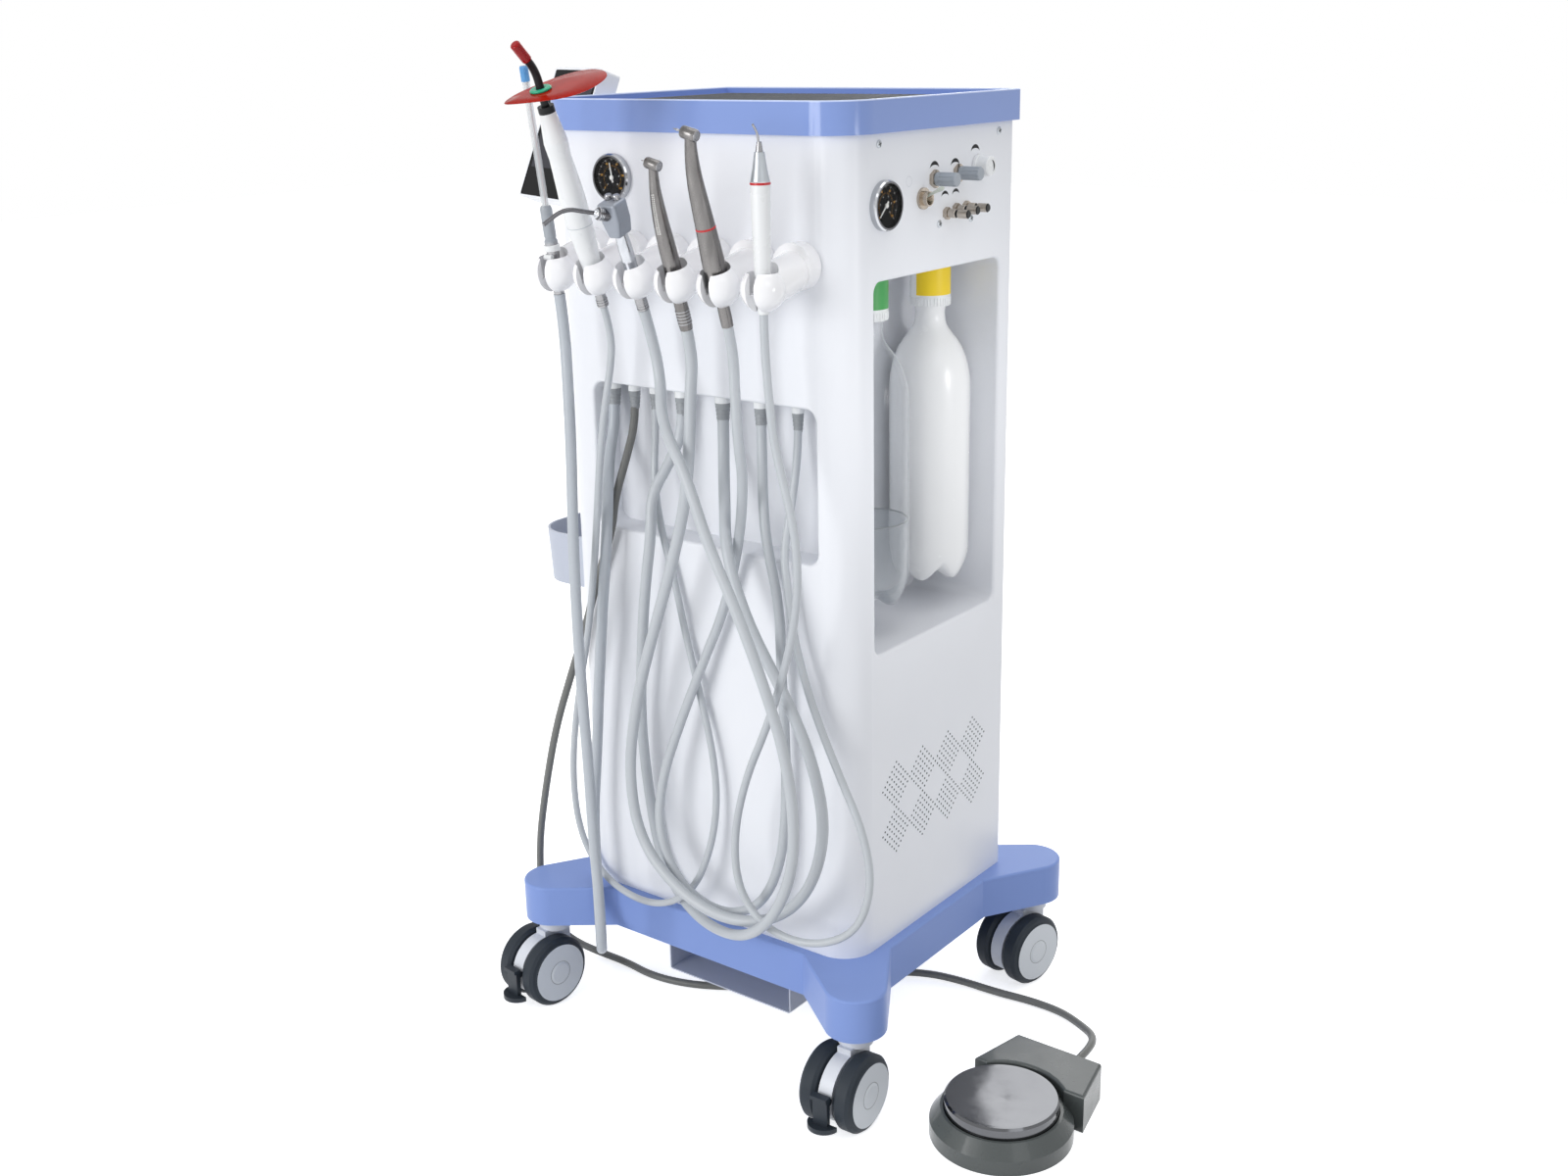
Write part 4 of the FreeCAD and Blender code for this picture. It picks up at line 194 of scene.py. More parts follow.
add_look("screen", (7, 8, 10), 0.08, drift=0.1, bump=0.0, smudge=0.02, Specular_IOR_Level=0.04)
add_look("display", (52, 52, 60), 0.14, drift=0.06, bump=0.0, smudge=0.03,
         Specular_IOR_Level=0.06)
add_look("pedal", (82, 87, 87), 0.3, drift=0.05, bump=0.05, grain=1100,
         Specular_IOR_Level=0.25, Coat_Weight=0.25, Coat_Roughness=0.08)
add_look("slate", (42, 49, 57), 0.42, drift=0.05, bump=0.06, Specular_IOR_Level=0.3)
add_look("toggle", (196, 202, 192), 0.36)
add_look("knob", (160, 167, 175), 0.4, drift=0.04, bump=0.04)
add_look("white_plastic", (238, 240, 241), 0.28, drift=0.015, bump=0.02, Coat_Weight=0.2,
         Coat_Roughness=0.1)
add_look("grey_plastic", (146, 152, 162), 0.34, 0.3, bump=0.04)
# grey of the hose reliefs; also the painted shade rings round the hub bosses and at the water
# line
add_look("relief", (150, 154, 158), 0.4, bump=0.04)
add_look("valve", (160, 166, 173), 0.32)
add_look("cap_red", (156, 8, 14), 0.16, drift=0.04, bump=0.01, Specular_IOR_Level=0.2,
         Coat_Weight=0.1, Coat_Roughness=0.05)
add_look("shield", (172, 30, 14), 0.12, drift=0.3, patch=45, bump=0.01, Alpha=0.9,
         Specular_IOR_Level=0.06)
add_look("clear", (186, 192, 198), 0.06, drift=0.01, bump=0.0, smudge=0.02, edge=(0.12, 0.85),
         Coat_Weight=1.0, Coat_Roughness=0.03)
add_look("water", (172, 180, 188), 0.04, drift=0.02, bump=0.0, smudge=0.01, edge=(0.34, 0.9),
         Coat_Weight=1.0, Coat_Roughness=0.02)
add_look("milky", (243, 244, 245), 0.26, drift=0.006, bump=0.0, smudge=0.015)
add_look("glass", (250, 250, 250), 0.03, drift=0.0, bump=0.0, smudge=0.0, Alpha=0.01,
         Specular_IOR_Level=0.1)
add_look("tube", (232, 236, 238), 0.14, drift=0.02, bump=0.01, Alpha=0.4, Coat_Weight=0.6,
         Coat_Roughness=0.04)
add_look("needle", (240, 240, 236), 0.4, drift=0.02, bump=0.02)
add_look("amber", (232, 170, 48), 0.4, drift=0.02, bump=0.02)
add_look("green", (42, 172, 132), 0.34, bump=0.02)
add_look("blue_tip", (86, 160, 222), 0.16, bump=0.01, Alpha=0.85)
add_look("print", (26, 27, 30), 0.5, drift=0.05, bump=0.02, Specular_IOR_Level=0.2)
add_look("seam", (190, 195, 202), 0.5, drift=0.02, bump=0.02)
# dark grey of the vent holes: painted shade of their insides
add_look("vent_hole_shade", (84, 90, 94), 0.8, drift=0.05, bump=0.02, Specular_IOR_Level=0.1)
add_look("label_green", (60, 158, 78), 0.4, drift=0.02, bump=0.02)
add_look("label_yellow", (250, 216, 32), 0.4, drift=0.02, bump=0.02)
add_look("red", (196, 28, 36), 0.3, bump=0.02)
add_look("copper", (190, 130, 122), 0.35, 0.3, drift=0.05, bump=0.02)
add_look("tank", (120, 126, 134), 0.4, 0.3, drift=0.06, bump=0.06)

CORNERS = ("front_left", "front_right", "back_left", "back_right")
# what each CAD node wears; a node that a piece stands for needs nothing
WEARS = {
    "shell": ("cabinet_shell", "back_cover", "panel_bracket", "panel_arm", "panel_housing"),
    "blue": ("base_frame",),
    "blue_gloss": ("tray",),
    "mat": ("tray_mat",),
    "sheet": ("pedal_shelf", "side_bin"),
    "holder": ("instrument_holders",),
    "caster": tuple(f"caster_{corner}_housing" for corner in CORNERS),
    "tyre": tuple(f"caster_{corner}_wheels" for corner in CORNERS),
    "slate": ("brake_front_left", "brake_front_right"),
    "valve": ("suction_valve",),
    "tube": ("suction_tip",),
    "white_plastic": ("curing_light", "scaler_handpiece", "scaler_knob", "bottle_caps"),
    "toggle": ("toggle_lever",),
    "black": ("curing_guide",),
    "gun_metal": ("gauge_cases",),
    "steel": ("syringe", "syringe_water_button", "syringe_air_button", "high_speed_bur",
              "contra_angle_bur", "scaler_tip"),
    "glass": ("gauge_glasses",),
    "needle": ("gauge_needle_front", "gauge_needle_side"),
    "knob": ("air_knob", "water_knob"),
    "valve_metal": ("needle_valve_1", "needle_valve_2", "needle_valve_3"),
    "nickel": ("panel_fittings",),
    "pedal": ("pedal_housing",),
    "mirror": ("pedal_disc",),
    "tank": ("compressor",),
}
for look, names in WEARS.items():
    for name in names:
        nodes[name].data.materials.clear()
        nodes[name].data.materials.append(LOOKS[look])


# ---------------------------------------------------------------- hoses

# each hose's route from its gland, measured from the cabinet's centre line
ROUTES = {
    "suction_hose": (
        (-0.117, -0.12, 0.6627), (-0.117, -0.12, 0.632), (-0.112, -0.137, 0.598),
        (-0.097, -0.158, 0.558), (-0.099, -0.162, 0.508), (-0.108, -0.163, 0.441),
        (-0.118, -0.162, 0.366), (-0.128, -0.16, 0.289), (-0.134, -0.163, 0.225),
        (-0.1315, -0.166, 0.165), (-0.1315, -0.166, 0.116), (-0.116, -0.1815, 0.094),
        (-0.094, -0.2035, 0.094), (-0.0785, -0.219, 0.116), (-0.0785, -0.219, 0.165),
        (-0.088, -0.213, 0.232), (-0.094, -0.208, 0.303), (-0.1, -0.205, 0.373),
        (-0.105, -0.201, 0.452), (-0.108, -0.197, 0.53), (-0.108, -0.193, 0.606),
        (-0.11, -0.19, 0.671), (-0.1155, -0.1849, 0.7327), (-0.1155, -0.189, 0.7624),
    ),
    "curing_hose": (
        (-0.064, -0.12, 0.6627), (-0.064, -0.12, 0.635), (-0.056, -0.136, 0.585),
        (-0.043, -0.144, 0.54), (-0.027, -0.145, 0.491), (-0.014, -0.146, 0.434),
        (0.002, -0.146, 0.375), (0.018, -0.149, 0.32), (0.023, -0.151, 0.27),
        (0.017, -0.157, 0.22), (0.001, -0.166, 0.176), (-0.035, -0.168, 0.149),
        (-0.083, -0.162, 0.139), (-0.142, -0.147, 0.143), (-0.175, -0.144, 0.182),
        (-0.175, -0.15, 0.252), (-0.157, -0.156, 0.334), (-0.127, -0.163, 0.422),
        (-0.103, -0.172, 0.515), (-0.086, -0.179, 0.6), (-0.077, -0.178, 0.655),
        (-0.071, -0.172, 0.697), (-0.0673, -0.1725, 0.7254), (-0.0673, -0.1821, 0.7538),
    ),
    "syringe_hose": (
        (-0.03, -0.12, 0.6627), (-0.03, -0.12, 0.632), (-0.037, -0.133, 0.602),
        (-0.047, -0.151, 0.572), (-0.041, -0.16, 0.536), (-0.051, -0.161, 0.481),
        (-0.059, -0.16, 0.422), (-0.069, -0.156, 0.344), (-0.069, -0.15, 0.266),
        (-0.06, -0.147, 0.192), (-0.03, -0.153, 0.154), (0.021, -0.17, 0.144),
        (0.083, -0.193, 0.16), (0.133, -0.212, 0.201), (0.159, -0.213, 0.253),
        (0.162, -0.21, 0.309), (0.152, -0.209, 0.373), (0.128, -0.209, 0.438),
        (0.098, -0.208, 0.502), (0.066, -0.205, 0.555), (0.042, -0.203, 0.614),
        (0.003, -0.189, 0.655), (-0.012, -0.17, 0.69), (-0.0191, -0.171, 0.7259),
        (-0.0191, -0.1813, 0.7541),
    ),
    "turbine_hose": (
        (0.019, -0.12, 0.6627), (0.019, -0.12, 0.63), (0.027, -0.131, 0.602),
        (0.04, -0.147, 0.574), (0.054, -0.165, 0.543), (0.07, -0.172, 0.505),
        (0.092, -0.173, 0.461), (0.125, -0.171, 0.41), (0.154, -0.169, 0.35),
        (0.168, -0.17, 0.285), (0.15, -0.173, 0.219), (0.107, -0.179, 0.178),
        (0.053, -0.189, 0.17), (-0.003, -0.191, 0.189), (-0.05, -0.187, 0.227),
        (-0.066, -0.181, 0.295), (-0.052, -0.178, 0.375), (-0.026, -0.178, 0.449),
        (0.001, -0.179, 0.519), (0.024, -0.183, 0.584), (0.029, -0.181, 0.64),
        (0.028, -0.176, 0.684), (0.0291, -0.1726, 0.7159), (0.0291, -0.1809, 0.7448),
    ),
    "motor_hose": (
        (0.064, -0.12, 0.6627), (0.064, -0.12, 0.628), (0.077, -0.137, 0.588),
        (0.086, -0.146, 0.548), (0.104, -0.15, 0.487), (0.104, -0.15, 0.429),
        (0.107, -0.15, 0.367), (0.109, -0.152, 0.293), (0.105, -0.158, 0.228),
        (0.084, -0.166, 0.181), (0.042, -0.175, 0.165), (-0.007, -0.179, 0.185),
        (-0.035, -0.175, 0.232), (-0.034, -0.168, 0.288), (-0.01, -0.16, 0.358),
        (0.012, -0.152, 0.416), (0.038, -0.148, 0.474), (0.06, -0.151, 0.545),
        (0.078, -0.166, 0.607), (0.083, -0.178, 0.64), (0.079, -0.176, 0.69),
        (0.0773, -0.1743, 0.7238), (0.0773, -0.1828, 0.7525),
    ),
    "scaler_hose": (
        (0.106, -0.12, 0.6627), (0.106, -0.12, 0.634), (0.111, -0.136, 0.59),
        (0.107, -0.147, 0.54), (0.114, -0.151, 0.508), (0.122, -0.153, 0.458),
        (0.143, -0.155, 0.399), (0.174, -0.158, 0.341), (0.205, -0.163, 0.293),
        (0.218, -0.168, 0.244), (0.205, -0.175, 0.196), (0.163, -0.185, 0.173),
        (0.114, -0.192, 0.177), (0.078, -0.19, 0.207), (0.072, -0.188, 0.261),
        (0.089, -0.189, 0.326), (0.118, -0.19, 0.387), (0.142, -0.192, 0.45),
        (0.159, -0.194, 0.518), (0.157, -0.195, 0.58), (0.134, -0.193, 0.65),
        (0.129, -0.192, 0.695), (0.1255, -0.1916, 0.7322), (0.1255, -0.1918, 0.7622),
    ),
    "foot_hose": (
        (-0.09, -0.12, 0.6627), (-0.09, -0.12, 0.634), (-0.093, -0.133, 0.598),
        (-0.101, -0.143, 0.56), (-0.104, -0.146, 0.528), (-0.127, -0.146, 0.474),
        (-0.146, -0.148, 0.419), (-0.171, -0.148, 0.361), (-0.196, -0.148, 0.301),
        (-0.221, -0.144, 0.226), (-0.248, -0.134, 0.146), (-0.262, -0.122, 0.071),
        (-0.255, -0.11, 0.031), (-0.236, -0.097, 0.011), (-0.205, -0.091, 0.005),
        (-0.168, -0.09, 0.005), (-0.127, -0.096, 0.005), (-0.085, -0.089, 0.005),
        (-0.043, -0.068, 0.005), (-0.004, -0.035, 0.005), (0.038, 0.01, 0.005),
        (0.076, 0.056, 0.005), (0.116, 0.082, 0.005), (0.156, 0.09, 0.005), (0.2, 0.091, 0.005),
        (0.24, 0.097, 0.005), (0.276, 0.096, 0.005), (0.306, 0.082, 0.007), (0.332, 0.06, 0.014),
        (0.343, 0.0303, 0.02), (0.343, 0.0043, 0.02),
    ),
}
# diameter, length along the hose, look, slot, how stiff it is, far end, what is on it
HOSES = {
    "suction_hose": (0.011, 1.296, "suction_hose", "blue_hose", "limp", "tool",
                     ("suction_valve",)),
    "foot_hose": (0.008, 1.400, "foot_hose", "dark_hose", "medium", "object", ()),
    "curing_hose": (0.007, 1.292, "hose", "warm_hose", "limp", "tool", ("curing_light",)),
    "syringe_hose": (0.0105, 1.325, "hose", "warm_hose", "limp", "tool", ("syringe",)),
    "turbine_hose": (0.011, 1.251, "hose", "warm_hose", "limp", "tool",
                     ("high_speed_handpiece",)),
    "motor_hose": (0.0095, 1.188, "hose", "warm_hose", "limp", "tool", ("contra_angle",)),
    "scaler_hose": (0.0075, 1.207, "hose", "warm_hose", "limp", "tool",
                    ("scaler_handpiece",)),
}
HOSE_CREASE = math.radians(40)


def curve(name, points, radius, look):
    """A round line through its control points."""
    data = bpy.data.curves.new(name, "CURVE")
    data.dimensions = "3D"
    data.bevel_depth = radius
    data.bevel_resolution = 4
    data.resolution_u = 10
    data.use_fill_caps = True
    line = data.splines.new("NURBS")
    line.points.add(len(points) - 1)
    for point, spot in zip(points, line.points):
        spot.co = (*(ORIGIN + Vector(point)), 1)
    line.order_u = 3
    line.use_endpoint_u = True
    data.materials.append(LOOKS[look])
    made = bpy.data.objects.new(name, data)
    bpy.context.scene.collection.objects.link(made)
    return made


def tube(line):
    """A round line as a mesh of the same name, and the points of its centre line."""
    name = line.name
    line.name = f"{name}_guide"
    data = bpy.data.meshes.new_from_object(line)
    line.data.bevel_depth = 0
    middle = bpy.data.meshes.new_from_object(line)
    points = [tuple(vertex.co) for vertex in middle.vertices]
    bpy.data.objects.remove(line)
    bpy.data.meshes.remove(middle)
    for face in data.polygons:
        face.use_smooth = True
    data.set_sharp_from_angle(angle=HOSE_CREASE)
    made = bpy.data.objects.new(name, data)
    bpy.context.scene.collection.objects.link(made)
    return made, points


for name, (diameter, length, look, slot, stiffness, far_end, on_it) in HOSES.items():
    hose, middle = curve(f"{name}_line", ROUTES[name], diameter / 2, look), None
    if far_end == "tool":
        hose, middle = tube(hose)
    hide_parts(name)
    if far_end == "tool":
        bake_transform(hose)
    else:
        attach(hose, "unit")


# ---------------------------------------------------------------- places

SIDE_WALL, BACK_WALL = 174, 139.5  # the planes of the control strip and the service cover
UPRIGHT = Matrix()


def yawed(degrees, turn=UPRIGHT):
    """A turn about the upright axis, after another turn."""
    return Matrix.Rotation(math.radians(degrees), 4, "Z") @ turn


FRONT = Matrix.Rotation(math.radians(90), 4, "X")
RIGHT, BACK = yawed(90, FRONT), yawed(180, FRONT)


def on(turn, x, y, z):
    """A frame at a point in millimetres from the cabinet's centre line on the floor."""
    return Matrix.Translation(ORIGIN + Vector((x, y, z)) * MM) @ turn


def on_side(y, z):
    """A frame on the control strip, with x to the back, y up and z out of the wall."""
    return on(RIGHT, SIDE_WALL, y, z)


CART = on(UPRIGHT, 0, 0, 0)
SIDE = on_side(0, 0)
FIRST_BALL, BALL_PITCH = (-115.5, -192, 783.5), 48.2  # the balls that hold the tools
LEAN = {"suction": 8.0, "curing": 18.5, "syringe": 20.0, "turbine": 16.0, "motor": 16.5,
        "scaler": 0.5}
HELD = {tool: on(Matrix.Rotation(math.radians(angle), 4, "X"),
                 FIRST_BALL[0] + BALL_PITCH * number, *FIRST_BALL[1:])
        for number, (tool, angle) in enumerate(LEAN.items())}
# the two whose heads are turned to the front
HEADED = {tool: HELD[tool] @ yawed(-90) for tool in ("turbine", "motor")}
WHEEL_RADIUS, TRAIL = 38, 20.5
AXLES = {corner: on(yawed(yaw), x, y, WHEEL_RADIUS) @ Matrix.Translation((0, -TRAIL * MM, 0))
         for corner, x, y, yaw in (
             ("front_right", 197, -166.5, 1.9), ("front_left", -197, -166.5, -6.8),
             ("back_right", 197, 166.5, -11.6), ("back_left", -197, 166.5, 6.0))}
PANEL = on(yawed(-21.2, Matrix.Rotation(math.radians(-21.7), 4, "X")), -252, -37.5, 895)
GAUGES = {"front": on(FRONT, -88, -137.5, 864.4), "side": on_side(-82.7, 845.1)}
BOTTLES = {"clear": on(UPRIGHT, 122, -33.5, 0), "milky": on(UPRIGHT, 122, 73.5, 0)}
TOGGLE = on_side(-21.6, 846.1)
VALVES = [on_side(y, z) for y, z in ((17, 829.8), (33.2, 832), (50.7, 832.6))]
KNOBS = {"air_knob": on_side(-3.3, 861.7), "water_knob": on_side(36.6, 864.1)}


# ---------------------------------------------------------------- painting the CAD pieces

HUB_RADIUS, WHEEL_FACE = 31.4, 30.05


def paint(node, look, place, test):
    """Give a node's faces another look where their middle, in a local frame, passes."""
    mesh = nodes[node].data
    mesh.materials.append(LOOKS[look])
    index = len(mesh.materials) - 1
    back = place.inverted()
    for face in mesh.polygons:
        if test(back @ face.center / MM):
            face.material_index = index


def off_axis(point):
    """How far a point is from the local Z axis."""
    return math.hypot(point.x, point.y)


for corner, axle in AXLES.items():
    paint(f"caster_{corner}_wheels", "hub", axle, lambda p: math.hypot(p.y, p.z) < HUB_RADIUS)
for place in GAUGES.values():
    paint("gauge_cases", "chrome", place, lambda p: 20.2 < off_axis(p) < 30)
    paint("gauge_cases", "dial", place,
          lambda p: off_axis(p) < 18.95 and 1.5 < p.z < 6.4)
paint("panel_housing", "screen", PANEL, lambda p: 0.3 < p.y < 0.8 and abs(p.x) < 52)
# painted highlight: the tray's top edge takes the paler blue
paint("tray", "rim", CART, lambda p: p.z > 933.2)
paint("curing_light", "black", HELD["curing"], lambda p: p.z > 151.4)
paint("curing_light", "steel", HELD["curing"], lambda p: p.z < -4)
paint("curing_guide", "cap_red", HELD["curing"],
      lambda p: (p.y + 5.3) * -0.467 + (p.z - 198.5) * 0.884 > -0.2)  # past its bend
paint("suction_valve", "steel", HELD["suction"], lambda p: p.z < 26.5)
paint("suction_valve", "white_plastic", HELD["suction"],
      lambda p: 11 < p.z < 17.5 and off_axis(p) > 6.4)
paint("suction_tip", "blue_tip", HELD["suction"], lambda p: p.z > 169.8)
# painted reflection streaks on the syringe's handle
paint("syringe", "painted_reflection_streaks", HELD["syringe"], lambda p: -4 < p.z < 42.3 and p.y > -9)
paint("syringe", "grey_plastic", HELD["syringe"], lambda p: p.z > 42.3 and p.y > -10.5)
paint("syringe", "gun_metal", HELD["syringe"], lambda p: p.z > 42.3 and p.y < -10.2)
paint("scaler_handpiece", "satin", HELD["scaler"], lambda p: p.z > 88.4)
for place in BOTTLES.values():
    paint("bottle_caps", "tube", place, lambda p: off_axis(p) < 3 and p.z < 761)
paint("panel_fittings", "white_plastic", CART, lambda p: p.z < 680)
for place in (*VALVES, TOGGLE):
    paint("panel_fittings", "brass", place, lambda p: off_axis(p) < 3.6)
for number, place in enumerate(VALVES, 1):
    paint(f"needle_valve_{number}", "black", place,
          lambda p: off_axis(p) < 4.2 and (p.z > 23.4 or 11.5 < p.z < 14))
for name, place in KNOBS.items():
    paint(name, "brass", place, lambda p: off_axis(p) < 3.1 and p.z < 5)


# ---------------------------------------------------------------- new pieces


def piece(name, made, look, body, place, crease=30):
    """A mesh given in millimetres in a local frame, which rides on a body."""
    bmesh.ops.transform(made, matrix=place @ Matrix.Scale(MM, 4), verts=made.verts)
    bmesh.ops.recalc_face_normals(made, faces=made.faces)
    data = bpy.data.meshes.new(name)
    made.to_mesh(data)
    made.free()
    for face in data.polygons:
        face.use_smooth = True
    data.set_sharp_from_angle(angle=math.radians(crease))
    data.materials.append(LOOKS[look])
    thing = bpy.data.objects.new(name, data)
    bpy.context.scene.collection.objects.link(thing)
    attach(thing, body)
    return thing


def skin(made, rings, steps):
    """Faces from each ring of corners to the next; a ring of one corner is a pole."""
    for low, high in zip(rings, rings[1:]):
        for step in range(steps):
            after = step + 1
            corners = (low[step % len(low)], low[after % len(low)], high[after % len(high)],
                       high[step % len(high)])
            made.faces.new(list(dict.fromkeys(corners)))


def lathe(made, profile, steps=48, place=UPRIGHT, start=0.0, sweep=360.0):
    """Turn (radius, height) points about the local Z axis, all the way or part of it."""
    count = steps if sweep == 360 else steps + 1
    rings = []
    for radius, height in profile:
        angles = [math.radians(start + sweep * step / steps)
                  for step in (range(count) if radius else range(1))]
        rings.append([made.verts.new(place @ Vector((radius * math.cos(angle),
                                                     radius * math.sin(angle), height)))
                      for angle in angles])
    skin(made, rings, steps)
    return made


def facet(made, corners):
    """One face through its corners."""
    made.faces.new([made.verts.new(corner) for corner in corners])


def plate(made, corners, height=0.0, place=UPRIGHT):
    """One flat face through (x, y) corners."""
    facet(made, [place @ Vector((x, y, height)) for x, y in corners])


def bar(made, half, low, high, height, place):
    """One flat upright bar of the given half width."""
    plate(made, ((-half, low), (half, low), (half, high), (-half, high)), height, place)


def digits(made, text, size, x, y, height):
    """A plain number, lying flat with its middle at a point."""
    font = bpy.data.curves.new("digits", "FONT")
    font.body, font.size = text, size
    font.align_x, font.align_y = "CENTER", "CENTER"
    font.resolution_u = 2
    holder = bpy.data.objects.new("digits", font)
    flat = bpy.data.meshes.new_from_object(holder)
    flat.transform(Matrix.Translation((x, y, height)))
    made.from_mesh(flat)
    for block, data in ((bpy.data.objects, holder), (bpy.data.curves, font),
                        (bpy.data.meshes, flat)):
        block.remove(data)


LIFT = 0.05  # prints and vent holes lie this far above their wall
DIAL_FACE, DIAL_START, DIAL_SWEEP = 2.06, 225, 270
# colour, look, gaps between ticks, which are long, (inner end, half width) of a long and a
# short one, their outer end, the numbers with their distance from the middle and their size
SCALES = (
    ("white", "needle", 50, 5, (15.4, 0.18), (16.5, 0.06), 17.3,
     ("0", "2", "4", "6", "8", "10"), 8.4, 1.9),
    ("amber", "amber", 28, 4, (9.6, 0.12), (10.3, 0.12), 11,
     ("0", "20", "40", "60", "80", "100"), 13.4, 2.7))
for name, place in GAUGES.items():
    for colour, look, gaps, group, long, short, outer, numbers, reach, size in SCALES:
        made = bmesh.new()
        for step in range(gaps + 1):
            inner, half = short if step % group else long
            bar(made, half, inner, outer, DIAL_FACE,
                yawed(DIAL_START - 90 - DIAL_SWEEP * step / gaps))
        for step, number in enumerate(numbers):
            angle = math.radians(DIAL_START - DIAL_SWEEP * step / (len(numbers) - 1))
            digits(made, number, size, reach * math.cos(angle), reach * math.sin(angle),
                   DIAL_FACE)
        piece(f"dial_{colour}_{name}", made, look, "unit", place)
    hub = lathe(bmesh.new(), ((2.2, 3.3), (2.2, 3.7), (1.6, 4.1), (0, 4.2)), 20)
    piece(f"needle_hub_{name}", hub, "needle", f"needle_{name}", place)


def crescent(made, width, place):
    """A printed curved mark, thick in its middle."""
    reach = width / 2
    angles = [math.radians(angle) for angle in range(14, 167, 8)]
    upper = [(reach * math.cos(angle), reach * math.sin(angle)) for angle in angles]
    lower = [(x * 0.97, y * 0.44 + reach * 0.12) for x, y in reversed(upper)]
    plate(made, upper + lower, LIFT, place)


# arcs over the knobs and valves, a short one on the scaler's knob, and a blanked hole
marks = bmesh.new()
for y, z, width in ((-2.3, 869.4, 15.6), (32.4, 869.6, 15.6), (67, 879.8, 15.6),
                    (15.6, 843.6, 12.6), (33.9, 844.2, 12.6)):
    crescent(marks, width, Matrix.Translation((y, z, 0)))
piece("turn_marks", marks, "print", "unit", SIDE)
mark = bmesh.new()
crescent(mark, 11, Matrix.Translation((0, 0, 15)) @ yawed(-75))
piece("scaler_knob_mark", mark, "print", "scaler_knob", on_side(71.7, 868))
blank = lathe(bmesh.new(), ((4.3, 0.04), (4.55, 0.04)), 32)
piece("blind_hole", blank, "seam", "unit", on_side(-43.4, 862.4))

# cross-head screws: a low dome with a black cross laid on it, painted shade in place of the
# recessed cross
for name, wall, spots, radius in (
        ("side_screws", SIDE, ((-90.1, 897), (109.3, 897.4), (6.6, 821.2), (60.8, 821.5)), 3.5),
        ("cover_screws", on(BACK, 0, BACK_WALL, 0),
         tuple((x, z) for x in (-150, 150) for z in (165, 525, 885)), 4.2)):
    heads, slots = bmesh.new(), bmesh.new()
    for spot in spots:
        place = Matrix.Translation((*spot, 0))
        lathe(heads, ((radius, 0), (radius, 0.5), (radius * 0.8, 1.0), (radius * 0.45, 1.25),
                      (0, 1.3)), 24, place)
        for angle in (20, 110):
            bar(slots, radius * 0.13, -radius * 0.62, radius * 0.62, 1.33,
                place @ yawed(angle))
    piece(name, heads, "satin", "unit", wall)
    # painted shade: the black cross stands in for the screws' recesses
    piece(f"{name}_cross", slots, "black", "unit", wall)

# four columns of two diamonds, each of so many holes by as many; each hole is a dark disc laid
# on the wall, painted shade in place of an opening
VENT_FIRST, VENT_COLUMN, VENT_TOPS, VENT_HOLES, VENT_RADIUS = -62.8, 46.4, (320, 273), 7, 1.1
VENT_ACROSS, VENT_DOWN = VENT_COLUMN / 12, (VENT_TOPS[0] - VENT_TOPS[1]) / 12
vents = bmesh.new()
for column in range(4):
    for top in VENT_TOPS:
        for row in range(VENT_HOLES):
            for along in range(VENT_HOLES):
                y = VENT_FIRST + VENT_COLUMN * column + (row - along) * VENT_ACROSS
                z = top - (row + along) * VENT_DOWN
                lathe(vents, ((0, LIFT), (VENT_RADIUS, LIFT)), 10, Matrix.Translation((y, z, 0)))
# painted shade: dark discs in place of the vent holes
piece("vent_holes", vents, "vent_hole_shade", "unit", SIDE)

display = bmesh.new()
bar(display, 45, -36, 56, -0.5, UPRIGHT)
piece("panel_display", display, "display", "panel", PANEL @ FRONT)

# a grey ring round each hub's raised boss: painted shade at the boss's edge
for corner, axle in AXLES.items():
    for side, name in ((-1, "left"), (1, "right")):
        seam = lathe(bmesh.new(), ((12.5, WHEEL_FACE), (13.2, WHEEL_FACE)), 48)
        face = axle @ Matrix.Rotation(math.radians(90 * side), 4, "Y")
        piece(f"hub_seam_{corner}_{name}", seam, "relief", f"wheels_{corner}",
              face)


# ---------------------------------------------------------------- bottles

BOTTLE_RADIUS, BOTTLE_LOW, SHOULDER = 39.4, 465.5, 655
VALLEY_LOW, VALLEY_RISE = 6, 22  # the base between two feet
# a foot's outline: share of the way out, share of the radius, height over its tip
FOOT = ((0, 0, 5), (0.3, 0.38, 3.6), (0.45, 0.52, 0.5), (0.6, 0.68, 0), (0.72, 0.8, 2),
        (0.86, 0.92, 13), (1, 1, 32))
FEET, FOOT_STEPS = 5, 14
SHOULDER_IN, SHOULDER_RISE, SHOULDER_BEND, SHOULDER_STEPS = 33, 60, 58, 9
NECK = ((20.4, 710.5), (17.6, 714.5), (15.6, 718.6), (14.5, 723.5), (14.2, 730), (15, 734.5),
        (15, 736.2))
WATER_LEVEL, WATER_INSET = 547, 1.6


